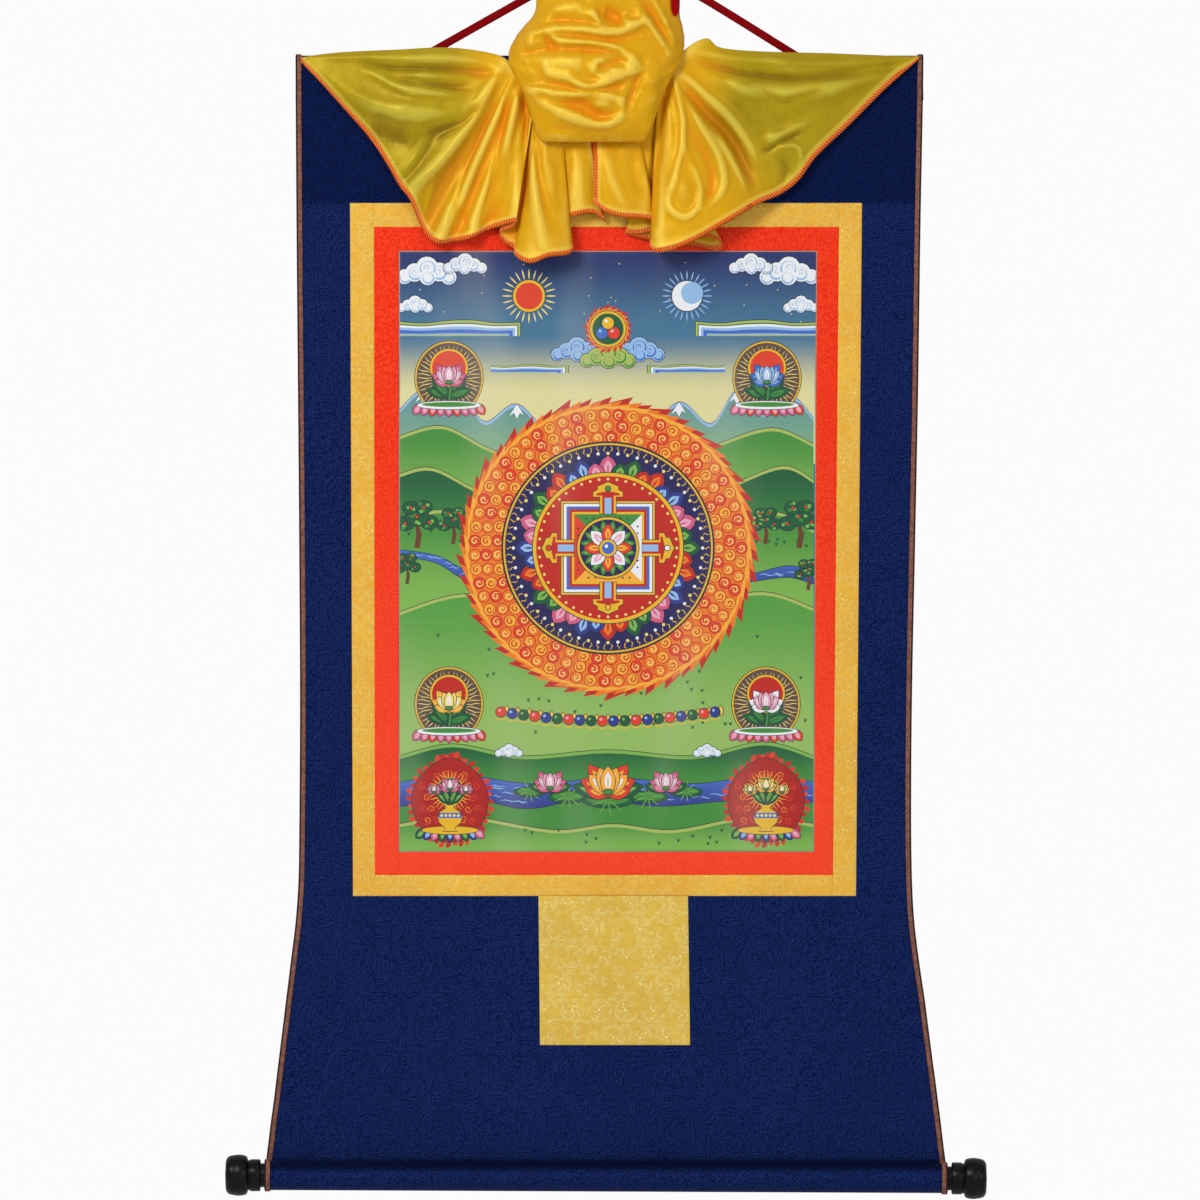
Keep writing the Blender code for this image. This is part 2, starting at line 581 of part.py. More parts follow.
def build_ribbon(material, collection):
    """Flat on the wall along both legs, turned edge-on where it passes over the nail."""
    rows = ribbon_points()
    mesh = bpy.data.meshes.new("hanging_ribbon")
    bm = bmesh.new()
    sections = []
    for index, (point, from_crest) in enumerate(rows):
        ahead = rows[min(index + 1, len(rows) - 1)][0]
        behind = rows[max(index - 1, 0)][0]
        along = Vector((ahead.x - behind.x, 0, behind.drop - ahead.drop)).normalized()
        flat = Vector((-along.z, 0, along.x))
        turn = min(1.0, abs(from_crest) / RIBBON_TWIST_LENGTH)
        angle = math.pi / 2 * (1 - turn * turn * (3 - 2 * turn))
        wide = flat * math.cos(angle) + Vector((0, 1, 0)) * math.sin(angle)
        thin = along.cross(wide)
        centre = Vector((point.x * MM, 0, -point.drop * MM))
        section = []
        for a, b in ((-1, -1), (1, -1), (1, 1), (-1, 1)):
            offset = wide * (a * RIBBON_WIDTH / 2 * MM) + thin * (b * RIBBON_THICK / 2 * MM)
            section.append(bm.verts.new(centre + offset))
        sections.append(section)
    for one, two in zip(sections, sections[1:]):
        for i in range(4):
            j = (i + 1) % 4
            bm.faces.new((one[i], one[j], two[j], two[i]))
    bm.faces.new(sections[0])
    bm.faces.new(sections[-1])
    bmesh.ops.recalc_face_normals(bm, faces=bm.faces)
    bm.to_mesh(mesh)
    bm.free()
    add_object("hanging_ribbon", mesh, material, collection)


# ---- veil -----------------------------------------------------------------------------------
def fold_line(fold):
    """Points along a fold, each with its share of the fold's height."""
    path = [Place(*place) for place in fold.path]
    count = FOLD_SAMPLES * (len(path) - 1)
    line = []
    for i in range(count + 1):
        place = sample(path, i / FOLD_SAMPLES)
        share = math.sin(math.pi * min(max(i / count, FOLD_END), 1 - FOLD_END)) ** 0.5
        line.append((place.x, place.drop, share))
    return line


def fold_lift(lines, x, drop):
    """Forward push of all folds at a place on the cloth."""
    total = 0.0
    for fold, line in lines:
        nearest, share = math.inf, 0.0
        for (x1, drop1, share1), (x2, drop2, share2) in zip(line, line[1:]):
            run, fall = x2 - x1, drop2 - drop1
            t = ((x - x1) * run + (drop - drop1) * fall) / (run * run + fall * fall)
            t = min(1.0, max(0.0, t))
            away = math.hypot(x - x1 - run * t, drop - drop1 - fall * t)
            if away < nearest:
                nearest, share = away, share1 + (share2 - share1) * t
        if nearest < FOLD_REACH * fold.width:
            total += fold.height * share * math.exp(-(nearest / fold.width) ** 2)
    return total


WING_LINES = [(fold, fold_line(fold)) for fold in WING_FOLDS]
BUNDLE_LINES = [(fold, fold_line(fold)) for fold in BUNDLE_FOLDS]


def on_gather(top):
    """Whether a place on the upper line lies under the bundle."""
    return GATHER_LEFT <= top <= GATHER_RIGHT


def wing_share(top):
    """1 on the open wings, fading to 0 at the gathers."""
    return min(1.0, max(0.0, (GATHER_LEFT - top) / WING_FADE, (top - GATHER_RIGHT) / WING_FADE))


def rib_point(hem, v):
    """A point of the hanging cloth on one hem row: v runs 0 at the upper line to 1 at the hem."""
    top = sample(TOP_LINE, hem.top)
    open_out = v ** PLEAT_GROWTH
    x = top.x + (hem.x - top.x) * v
    drop = top.drop + (hem.drop - top.drop) * v
    depth = top.depth + (hem.depth - top.depth) * open_out
    length = math.hypot(hem.x - top.x, hem.drop - top.drop)
    depth += WING_BELLY * wing_share(hem.top) * min(1.0, length / FULL_RIB) * math.sin(math.pi * v)
    edge_fade = min(1.0, v / FOLD_MARGIN, (1 - v) / FOLD_MARGIN + FOLD_AT_HEM)
    depth += fold_lift(WING_LINES, x, drop) * edge_fade
    return x, drop, max(depth, VEIL_CLEARANCE)


def rib_column(hem):
    """World points down one rib; along a wing the first one is on the seam behind the roll."""
    column = [world(*rib_point(hem, row / (WING_ROWS - 1))) for row in range(WING_ROWS)]
    if not on_gather(hem.top):
        x = min(max(sample(TOP_LINE, hem.top).x, SEWN_REACH[0]), SEWN_REACH[1])
        column.insert(0, world(x, SEWN_DROP, SEWN_DEPTH))
    return column


def bundle_point(across, level):
    """A point of the bundle: across runs 0 to 1 left to right, level counts rows of the table."""
    row = sample(BUNDLE, level)
    turn = math.pi * (across * (1 + 2 * row.wrap) - row.wrap)
    middle_x = (row.left_x + row.right_x) / 2
    half = (row.right_x - row.left_x) / 2
    side_drop = row.left_drop + (row.right_drop - row.left_drop) * across
    x = middle_x - half * math.cos(turn)
    inward = min(1.0, (1 - abs(math.cos(turn))) / FLAT_SHOULDER)
    squared = inward * inward * (3 - 2 * inward)
    hang = row.flat * squared + (1 - row.flat) * max(0.0, math.sin(turn))
    drop = side_drop + (row.middle_drop - side_drop) * hang
    depth = row.side_depth + (row.middle_depth - row.side_depth) * math.sin(turn)
    if turn < 0 or turn > math.pi:
        depth = row.side_depth + (row.middle_depth - TURNED_BACK) * math.sin(turn)
    ends = min(1.0, level / FOLD_LEVELS, max(0.0, (BUNDLE_CREST - level) / FOLD_LEVELS))
    front = ends * math.sqrt(max(0.0, math.sin(turn)))
    if front > 0:
        depth += fold_lift(BUNDLE_LINES, x, drop) * front
    return x, drop, depth


def hem_columns(rows):
    """Hem rows with more columns wherever neighbours lie far apart."""
    columns = []
    for index in range(len(rows) - 1):
        one, two = rows[index], rows[index + 1]
        span = math.dist(one[:3], two[:3])
        count = max(1, round(span / COLUMN_STEP))
        columns += [sample(rows, index + i / count) for i in range(count)]
    columns.append(rows[-1])
    return columns


def join_columns(bm, left, right):
    """Faces between two columns; one may have an extra point at its upper end."""
    if len(left) > len(right):
        bm.faces.new((left[0], left[1], right[0]))
        left = left[1:]
    elif len(right) > len(left):
        bm.faces.new((left[0], right[1], right[0]))
        right = right[1:]
    for i in range(len(left) - 1):
        bm.faces.new((left[i], left[i + 1], right[i + 1], right[i]))


def build_veil(material, collection):
    """One sheet: two wings and a pleated fan below, and the bundle above, all from one cloth.

    The cloth's side edges meet at the middle of the fan, so its two halves only share their
    points on the gathered line, where the bundle starts.
    """
    bm = bmesh.new()
    gathered = {}
    for rows in (HEM_LEFT, HEM_RIGHT):
        previous = None
        for hem in hem_columns(rows):
            points = rib_column(hem)
            if on_gather(hem.top):
                if hem.top not in gathered:
                    gathered[hem.top] = bm.verts.new(points[0])
                column = [gathered[hem.top]] + [bm.verts.new(point) for point in points[1:]]
            else:
                column = [bm.verts.new(point) for point in points]
            if previous:
                join_columns(bm, previous, column)
            previous = column
    previous = None
    for top in sorted(gathered):
        across = (top - GATHER_LEFT) / (GATHER_RIGHT - GATHER_LEFT)
        column = [gathered[top]]
        column += [bm.verts.new(world(*bundle_point(across, level))) for level in range(len(BUNDLE))]
        if previous:
            join_columns(bm, column, previous)
        previous = column
    bmesh.ops.recalc_face_normals(bm, faces=bm.faces)
    mesh = bpy.data.meshes.new("veil")
    bm.to_mesh(mesh)
    bm.free()
    item = add_object("veil", mesh, material, collection, smooth=True)
    thicken(item, VEIL_THICK)


def tie_point(across, level):
    """A point just off the bundle's surface."""
    x, drop, depth = bundle_point(across, level)
    ahead = bundle_point(across + TIE_PROBE, level)
    behind = bundle_point(across - TIE_PROBE, level)
    run, rise = ahead[0] - behind[0], ahead[2] - behind[2]
    length = math.hypot(run, rise)
    return world(x - rise / length * TIE_LIFT, drop, depth + run / length * TIE_LIFT)


def build_tie(material, collection):
    rows = []
    for i in range(2 * (len(TIE_ROUTE) - 1) + 1):
        tie = sample(TIE_ROUTE, i / 2)
        reach = tie.half_width / BUNDLE_GIRTH
        rows.append([tie_point(tie.across + side * reach, tie.level) for side in (-1, 0, 1)])
    add_sheet("red_tie", rows, TIE_THICK, material, collection, smooth=True)


# ---- the whole object -----------------------------------------------------------------------
def build():
    for item in list(bpy.data.objects):
        bpy.data.objects.remove(item, do_unlink=True)
    collection = bpy.data.collections.new("ThangkaScroll")
    bpy.context.scene.collection.children.link(collection)

    navy = make_material("navy_brocade", (0.008, 0.017, 0.085), 0.75)
    gold = make_material("gold_brocade", (0.72, 0.42, 0.08), 0.6)
    red = make_material("red_silk", (0.85, 0.07, 0.015), 0.65)
    picture = make_material("printed_satin", (0.2, 0.35, 0.18), 0.5)
    tape = make_material("copper_tape", (0.22, 0.09, 0.06), 0.7)
    wood = make_material("stave_wood", (0.12, 0.06, 0.03), 0.6)
    knob = make_material("black_lacquer", (0.01, 0.01, 0.01), 0.3)
    ribbon = make_material("dark_red_ribbon", (0.22, 0.005, 0.008), 0.6)
    bright = make_material("bright_red_ribbon", (0.6, 0.01, 0.01), 0.6)
    satin = make_material("yellow_satin", (0.62, 0.4, 0.02), 0.35)

    corners = [(PICTURE.left_top, PICTURE.top), (PICTURE.right_top, PICTURE.top),
               (PICTURE.right_bottom, PICTURE.bottom), (PICTURE.left_bottom, PICTURE.bottom)]
    frame_strip("picture_panel", corners, picture, collection)
    build_frame("red_frame", RED_OUTER, PICTURE, red, collection)
    build_frame("gold_frame", GOLD_OUTER, RED_OUTER, gold, collection)
    for side in ("left", "right"):
        build_side_panel(side, navy, collection)
        build_binding(side, tape, collection)
        build_knob(side, knob, collection)
    build_path_panel("ground_top", top_path(), navy, collection)
    build_path_panel("ground_bottom", bottom_path(), navy, collection)
    corners = [(DOOR.left_top, DOOR.top), (DOOR.right_top, DOOR.top),
               (DOOR.right_bottom, DOOR.bottom), (DOOR.left_bottom, DOOR.bottom)]
    depth = CLOTH / 2 + GAP + DOOR_THICK / 2
    frame_strip("door_patch", corners, gold, collection, depth, DOOR_THICK)
    build_stave(wood, collection)
    build_roller(wood, collection)
    build_ribbon(ribbon, collection)
    build_veil(satin, collection)
    build_tie(bright, collection)


build()
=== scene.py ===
"""Looks of the thangka scroll painting: cloth, trim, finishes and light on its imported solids.

Frame: the origin is the hanging point under the nail, +X to the viewer's right, the front faces -Y
and +Z is up. Sizes are millimetres. A drop is measured down from the hanging point, and a depth
forward from the middle of the hanging cloth.
"""

import math
import random
from collections import namedtuple

import bmesh
import bpy
import numpy as np
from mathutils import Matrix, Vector, noise
from mathutils.geometry import delaunay_2d_cdt

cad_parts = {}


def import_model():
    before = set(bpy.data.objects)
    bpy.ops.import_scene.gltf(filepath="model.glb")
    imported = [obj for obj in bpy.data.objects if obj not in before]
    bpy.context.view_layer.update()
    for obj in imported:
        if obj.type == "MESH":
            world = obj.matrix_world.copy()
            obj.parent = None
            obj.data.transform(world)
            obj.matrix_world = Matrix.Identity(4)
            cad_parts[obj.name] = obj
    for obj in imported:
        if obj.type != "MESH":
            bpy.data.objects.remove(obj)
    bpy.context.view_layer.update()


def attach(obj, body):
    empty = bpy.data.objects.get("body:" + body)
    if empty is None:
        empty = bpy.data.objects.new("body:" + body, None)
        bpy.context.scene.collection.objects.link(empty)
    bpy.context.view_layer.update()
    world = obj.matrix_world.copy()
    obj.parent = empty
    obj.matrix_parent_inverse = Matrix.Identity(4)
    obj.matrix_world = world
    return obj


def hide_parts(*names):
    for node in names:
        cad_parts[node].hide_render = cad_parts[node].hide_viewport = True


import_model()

MM = 0.001

# ---- sizes of the part, repeated here ---------------------------------------------------------
CLOTH = 1.5
GAP = 0.3
BODY_Y = -12.05
STAVE_HEIGHT = 24.0
STAVE_ROUND = 2.8
SLEEVE_RADIUS = 5.25
SLEEVE_TOP = 111.0
SLEEVE_SEAM = 12.0
SLEEVE_SPARE = 2.0
SEAM_ALLOWANCE = 4.0
ROLLER_DROP = 1232.0
ROLLER_CLOTH_RADIUS = 14.25
ROLLER_FALL = 0.0045
ROLLER_END = 4.0
CLOTH_TURN = 316.0
BINDING_WALL = 0.9
BINDING_LIP = 4.6
RIBBON_WIDTH = 8.0
RIBBON_TWIST_LENGTH = 70.0
KNOB_BORE = 7.0
KNOB_BORE_DEPTH = 20.0

Edge = namedtuple("Edge", "drop left right")
EDGES = [Edge(*row) for row in (
    (111, -317.5, 310.5), (283, -316.5, 307.5), (456, -315, 305), (606, -313.8, 302), (756, -313, 299),
    (876, -313.6, 298.2), (936, -314.5, 299), (976, -317.2, 301.2), (1016, -322, 306),
    (1056, -327, 312), (1106, -333, 318.4), (1156, -339, 325), (1196, -344.2, 330), (1232, -348, 334),
)]
Frame = namedtuple("Frame", "top bottom left_top left_bottom right_top right_bottom")
GOLD_OUTER = Frame(259, 952, -263, -260, 249, 243)
RED_OUTER = Frame(283, 931, -239, -238, 226, 220)
PICTURE = Frame(307, 908, -214, -214, 204, 201)
DOOR = Frame(953, 1101, -74.5, -73, 75, 77)

# ---- finer sizes of the looks -----------------------------------------------------------------
CELL = 7.0                 # grid of the ground's cloth
SILK = 1.0                 # thickness of the pieced silk as it shows
SATIN = 0.5                # thickness of the veil as it shows
RIPPLE = 1.5               # height of the hanging cloth's slow waves
DOOR_LIFT = 1.55           # how far the door patch lies over the ground
DOOR_THICK = 0.8
VEIL_WIDTH = 620.0         # along the veil's sewn edge
SEAM_DIP = 0.55            # how far a sewn edge lies back
SEAM_WIDTH = 1.5           # distance from the seam over which it rises again
PUCKER = 0.3               # height of the puckers along a seam
PUCKER_REACH = 5.0
SLEEVE_STEPS = 18
TURN_STEPS = 64
TURNED_STEPS = 72


# ---- small helpers ----------------------------------------------------------------------------
def world(x, drop, depth):
    """A place given by millimetres across, down and forward, as metres in the part's frame."""
    return Vector((x * MM, (BODY_Y - depth) * MM, -drop * MM))


def sample(rows, place):
    """Smooth value of a table at a place counted in rows, through every row."""
    last = len(rows) - 1
    place = min(max(place, 0.0), float(last))
    index = min(int(place), last - 1)
    t = place - index
    before, start = rows[max(index - 1, 0)], rows[index]
    end, after = rows[index + 1], rows[min(index + 2, last)]
    result = []
    for a, b, c, d in zip(before, start, end, after):
        result.append(0.5 * (2 * b + (c - a) * t + (2 * a - 5 * b + 4 * c - d) * t ** 2
                             + (3 * b - a - 3 * c + d) * t ** 3))
    return type(start)(*result)


def ramp(value, low, high):
    """0 below low, 1 above high, and a soft rise between."""
    t = min(1.0, max(0.0, (value - low) / (high - low)))
    return t * t * (3 - 2 * t)


def waves(*place):
    """Smooth noise between about -1 and 1."""
    return noise.noise(Vector((*place, 0.0, 0.0)[:3]))


def edge_at(drop):
    """Left and right outer edges of the ground at a drop."""
    for index in range(len(EDGES) - 1):
        if drop <= EDGES[index + 1].drop:
            break
    span = EDGES[index + 1].drop - EDGES[index].drop
    place = index + max(0.0, drop - EDGES[index].drop) / span
    row = sample(EDGES, min(place, len(EDGES) - 1))
    return row.left, row.right


def frame_side(outline, drop, side):
    """x of a frame's left or right edge at a drop."""
    t = (drop - outline.top) / (outline.bottom - outline.top)
    if side == "left":
        return outline.left_top + (outline.left_bottom - outline.left_top) * t
    return outline.right_top + (outline.right_bottom - outline.right_top) * t


def cloth_edge(drop, side):
    """Edge of the ground itself, inside the folded tape."""
    left, right = edge_at(drop)
    inset = BINDING_WALL + GAP
    return left + inset if side == "left" else right - inset


def fallen(x, drop):
    """Drop after the slight fall of the roller to the right."""
    share = max(0.0, min(1.0, (drop - GOLD_OUTER.bottom) / (ROLLER_DROP - GOLD_OUTER.bottom)))
    return drop + x * ROLLER_FALL * share


def spaced(length, step, ends=(0.6, 1.5, 3.2)):
    """Shares along a length: close together near both ends, evenly spaced between."""
    near = [end for end in ends if end < length / 3]
    first = near[-1] if near else 0.0
    count = max(1, round((length - 2 * first) / step))
    middle = [first + (length - 2 * first) * i / count for i in range(count + 1)]
    places = [0.0, *near[:-1], *middle, *(length - end for end in reversed(near[:-1])), length]
    return [place / length for place in places]


def add_mesh(name, points, faces, material, **values):
    """Object from points and faces; each named value is a list with a number per point."""
    mesh = bpy.data.meshes.new(name)
    mesh.from_pydata(points, [], faces)
    for key, numbers in values.items():
        mesh.attributes.new(key, "FLOAT", "POINT").data.foreach_set("value", numbers)
    mesh.shade_smooth()
    mesh.materials.append(material)
    item = bpy.data.objects.new(name, mesh)
    bpy.context.scene.collection.objects.link(item)
    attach(item, "root")
    return item


def grid_faces(rows, columns):
    return [(i * columns + j, (i + 1) * columns + j, (i + 1) * columns + j + 1, i * columns + j + 1)
            for i in range(rows - 1) for j in range(columns - 1)]


def ring_faces(rings, sides, start=0):
    """Faces between closed rings of points, with a cap at each end."""
    faces = []
    for ring in range(start, start + (rings - 1) * sides, sides):
        for j in range(sides):
            k = (j + 1) % sides
            faces.append((ring + j, ring + k, ring + sides + k, ring + sides + j))
    first = tuple(range(start, start + sides))
    last = tuple(number + (rings - 1) * sides for number in first)
    return [*faces, first[::-1], last]


def add_grid(name, rows, thickness, material, **values):
    """Sheet of cloth through rows of points."""
    points = [point for row in rows for point in row]
    item = add_mesh(name, points, grid_faces(len(rows), len(rows[0])), material, **values)
    thicken(item, thickness)
    return item


def thicken(item, thickness):
    solid = item.modifiers.new("Cloth", "SOLIDIFY")
    solid.thickness = thickness * MM
    solid.offset = 0.0


def tint(red, green, blue):
    """Scene colour from a colour as seen, 0 to 255."""
    return tuple(c / 12.92 if c <= 0.04045 else ((c + 0.055) / 1.055) ** 2.4
                 for c in (red / 255, green / 255, blue / 255))


# ---- node writing -----------------------------------------------------------------------------
def feed(tree, socket, value):
    """Gives a socket a number, a colour or another node's signal."""
    if isinstance(value, Signal):
        tree.links.new(value.socket, socket)
    elif isinstance(value, tuple) and socket.type == "RGBA":
        socket.default_value = (*value, 1.0)
    else:
        socket.default_value = value


def calculate(operation, *values):
    """Math node on numbers and signals."""
    tree = next(value.tree for value in values if isinstance(value, Signal))
    node = tree.nodes.new("ShaderNodeMath")
    node.operation = operation
    for socket, value in zip(node.inputs, values):
        feed(tree, socket, value)
    return Signal(tree, node.outputs[0])


class Signal:
    """Output of a node. Arithmetic with it adds math nodes, and | takes the larger value."""

    def __init__(self, tree, socket):
        self.tree, self.socket = tree, socket

    def __add__(self, other):
        return calculate("ADD", self, other)

    def __sub__(self, other):
        return calculate("SUBTRACT", self, other)

    def __rsub__(self, other):
        return calculate("SUBTRACT", other, self)

    def __mul__(self, other):
        return calculate("MULTIPLY", self, other)

    def __truediv__(self, other):
        return calculate("DIVIDE", self, other)

    def __or__(self, other):
        return calculate("MAXIMUM", self, other)

    def __abs__(self):
        return calculate("ABSOLUTE", self)

    def ribs(self, pitch):
        """Waves from -1 to 1 with this pitch."""
        return calculate("SINE", self * (math.tau / pitch))

    def rise(self, low, high):
        """0 to 1 as the signal goes from low to high, softly; high may be the smaller one."""
        node = self.tree.nodes.new("ShaderNodeMapRange")
        node.interpolation_type = "SMOOTHSTEP"
        for name, value in (("Value", self), ("From Min", low), ("From Max", high)):
            feed(self.tree, node.inputs[name], value)
        return Signal(self.tree, node.outputs[0])


class Finish:
    """One procedural material; across and up are the place on it in millimetres."""

    def __init__(self, name, roughness, **constants):
        self.material = bpy.data.materials.new(name)
        self.material.use_nodes = True
        self.tree = self.material.node_tree
        self.surface = self.tree.nodes["Principled BSDF"].inputs
        self.set(Roughness=roughness, **constants)
        self.place = self.node("TexCoord", "Object")
        self.across = self.node("SeparateXYZ", "X", Vector=self.place) * (1 / MM)
        self.up = self.node("SeparateXYZ", "Z", Vector=self.place) * (1 / MM)

    def set(self, **values):
        for key, value in values.items():
            feed(self.tree, self.surface[key.replace("_", " ")], value)

    def node(self, kind, output, **inputs):
        """One output of a new node with these inputs."""
        node = self.tree.nodes.new(f"ShaderNode{kind}")
        for key, value in inputs.items():
            feed(self.tree, node.inputs[key], value)
        return Signal(self.tree, node.outputs[output])

    def attribute(self, name, output="Fac"):
        signal = self.node("Attribute", output)
        signal.socket.node.attribute_name = name
        return signal

    def mix(self, share, one, two):
        node = self.tree.nodes.new("ShaderNodeMix")
        node.data_type = "RGBA"
        for index, value in ((0, share), (6, one), (7, two)):
            feed(self.tree, node.inputs[index], value)
        return Signal(self.tree, node.outputs[2])

    def spots(self, size, detail=2.0, stretch=(1.0, 1.0, 1.0)):
        """Soft noise from 0 to 1 with spots of about this size in mm."""
        place = self.node("Mapping", 0, Vector=self.place, Scale=stretch)
        return self.node("TexNoise", "Fac", Vector=place, Detail=detail, Scale=1 / (size * MM))

    def bump(self, height, distance, **normal):
        """Relief of this height in mm for a height value from 0 to 1."""
        return self.node("Bump", 0, Height=height, Distance=distance * MM, **normal)

    def finish(self, color, slot=None, **normal):
        self.set(Base_Color=color, **normal)
        self.material["slot"] = slot
        return self.material


def lattice(pitch, across, up):
    """Cells in staggered rows: place in a cell from -0.5 to 0.5 each way, in cell widths."""
    v = up / pitch
    shift = calculate("MODULO", abs(calculate("FLOOR", v)), 2.0) * 0.5
    u = across / pitch + shift
    return calculate("FRACT", u) - 0.5, calculate("FRACT", v) - 0.5


def medallions(pitch, across, up, petals=8.0):
    """Line work of round scrolled medallions with small square frames between them, 0 to 1."""
    u, v = lattice(pitch, across, up)
    radius = calculate("SQRT", u * u + v * v)
    angle = calculate("ARCTAN2", v, u)
    scallop = calculate("SINE", angle * petals) * 0.022
    scroll = calculate("SINE", angle * 5.0 + radius * 46.0) * 0.035
    square = (0.5 - abs(u)) | (0.5 - abs(v))
    lines = radius.rise(0.07, 0.04)
    for shape, at, width in (
            (radius, 0.43, 0.02), (radius + scallop, 0.36, 0.018), (radius + scroll, 0.26, 0.02),
            (radius - scroll, 0.15, 0.022), (square, 0.05, 0.014), (square, 0.1, 0.014),
            (square, 0.15, 0.014)):
        lines |= abs(shape - at).rise(width, width * 0.35)
    return lines


# ---- finishes ---------------------------------------------------------------------------------
NAVY_PITCH = 58.0
LIT_SIDE = 1.1             # how far the lit edge of a woven line lies beside it
PANEL_SHADE = (-264.0, -254.0)                           # heights over which the top panel darkens
ROLLER_SHADE = ((-1212.0, -1219.0), (-1229.0, -1221.0))  # upper and lower end of a dark band


def navy_brocade():
    """Dark blue silk with tone-on-tone medallions over a fine ribbed weave."""
    s = Finish("navy_brocade", 0.62, Specular_IOR_Level=0.14, Specular_Tint=tint(120, 150, 230))
    drift = (s.spots(30.0) - 0.5) * 9.0
    across, up = s.across + drift, s.up - drift
    broken = s.spots(3.0, 1.0).rise(0.3, 0.52)
    lit = medallions(NAVY_PITCH, across + LIT_SIDE, up - LIT_SIDE) * broken
    small = abs(s.spots(7.5, 1.0) - 0.5).rise(0.035, 0.012)
    lines = (medallions(NAVY_PITCH, across, up) | small * 0.8) * broken
    grain = s.spots(1.6)
    # painted shadow: a dark band on the hanging cloth just above the roller, where the roller's top meets it
    fold = s.up.rise(*ROLLER_SHADE[0]) * s.up.rise(*ROLLER_SHADE[1])
    color = s.mix(s.spots(120.0, 1.0), tint(8, 21, 66), tint(13, 30, 80))
    color = s.mix(lit * 0.35, color, tint(32, 54, 118))
    color = s.mix(lines * 0.9, color, tint(0, 4, 38))
    color = s.mix(grain.rise(0.35, 0.7) * 0.5, color, tint(34, 54, 112))
    color = s.mix(s.up.rise(*PANEL_SHADE) * 0.6, color, tint(0, 8, 44))
    # darkens the painted shadow band above the roller
    color = s.mix(fold * 0.8, color, tint(0, 2, 22))
    height = lines * -0.6 + s.up.ribs(1.3) * s.across.ribs(0.9) * 0.12 + grain * 0.5
    return s.finish(color, "navy_brocade", Normal=s.bump(height, 0.5))


def gold_brocade(name, pitch, base, light, dark):
    """Yellow brocade with small dense figures in lighter thread."""
    s = Finish(name, 0.5, Specular_IOR_Level=0.35, Specular_Tint=tint(255, 214, 110))
    drift = (s.spots(11.0) - 0.5) * 5.0
    figures = medallions(pitch, s.across + drift, s.up - drift, 6.0)
    strokes = ((s.across + s.up).ribs(2.6) * (s.across - s.up).ribs(3.4)).rise(0.45, 0.85)
    lines = (figures | strokes) * s.spots(9.0, 1.0).rise(0.4, 0.56)
    grain = s.spots(1.5)
    color = s.mix(s.spots(60.0, 1.0), base, dark)
    color = s.mix(s.spots(4.0).rise(0.42, 0.62) * 0.5, color, dark)
    color = s.mix(lines * 0.62, color, light)
    color = s.mix(grain * 0.25, color, light)
    height = lines * 0.7 + s.up.ribs(0.9) * s.across.ribs(0.9) * 0.15 + grain
    return s.finish(color, "gold_brocade", Normal=s.bump(height, 0.25))


def red_silk():
    s = Finish("red_silk", 0.6, Specular_IOR_Level=0.25, Specular_Tint=tint(255, 110, 70))
    grain = s.spots(2.2, 3.0)
    color = s.mix(grain.rise(0.3, 0.7), tint(228, 40, 16), tint(252, 74, 44))
    color = s.mix(s.spots(90.0, 1.0) * 0.5, color, tint(238, 50, 26))
    color = s.mix(s.up.rise(-450.0, -900.0) * 0.45, color, tint(255, 88, 58))
    height = grain + s.up.ribs(0.8) * s.across.ribs(0.8) * 0.2
    return s.finish(color, "red_silk", Normal=s.bump(height, 0.18))


def copper_tape():
    """Brown tape, with painted shade that makes it nearly black where it turns round the edge."""
    s = Finish("copper_tape", 0.7, Specular_IOR_Level=0.2)
    twill = (s.up + s.across).ribs(1.1)
    color = s.mix(s.spots(3.0).rise(0.35, 0.65), tint(116, 74, 60), tint(152, 98, 78))
    color = s.mix(twill.rise(0.0, 1.0) * 0.3, color, tint(92, 56, 46))
    # painted shade: the tape turns nearly black where it bends round the cloth's edge
    color = s.mix(s.attribute("reach").rise(1.0, 0.2), color, tint(38, 22, 18))
    return s.finish(color, "copper_tape", Normal=s.bump(twill * 0.5 + s.spots(2.0), 0.15))


def stave_wood():
    s = Finish("stave_wood", 0.6)
    grain = s.spots(9.0, 4.0, (0.08, 1.0, 1.0))
    color = s.mix(grain.rise(0.35, 0.65), tint(104, 66, 40), tint(64, 38, 24))
    return s.finish(color, "wood", Normal=s.bump(grain, 0.15))


def black_lacquer():
    """Turned wood under black lacquer, with faint turning marks and rubbed rims."""
    s = Finish("black_lacquer", 0.34, Specular_IOR_Level=0.2)
    worn = s.spots(14.0, 3.0).rise(0.56, 0.75)
    s.set(Roughness=worn * 0.15 + 0.3)
    color = s.mix(worn, tint(4, 4, 5), tint(20, 17, 16))
    height = s.across.ribs(0.9) * 0.15 + s.spots(6.0)
    return s.finish(color, "black_lacquer", Normal=s.bump(height, 0.12))


def ribbed_ribbon(name, dark, light):
    """Flat ribbon with slanting ribs and painted shade along both edges; along is the distance on it
    and wide the place across it.
    """
    s = Finish(name, 0.55, Specular_IOR_Level=0.2, Specular_Tint=tint(255, 120, 100))
    along, wide = s.attribute("along"), s.attribute("wide")
    ribs = (along + wide * 1.1).ribs(1.9).rise(-0.6, 0.9)
    color = s.mix(ribs, dark, light)
    color = s.mix(s.spots(8.0) * 0.4, color, dark)
    # painted shade: the ribbon darker along both long edges
    color = s.mix(abs(wide).rise(3.1, 3.7) * 0.6, color, dark)
    return s.finish(color, name, Normal=s.bump(ribs, 0.22))


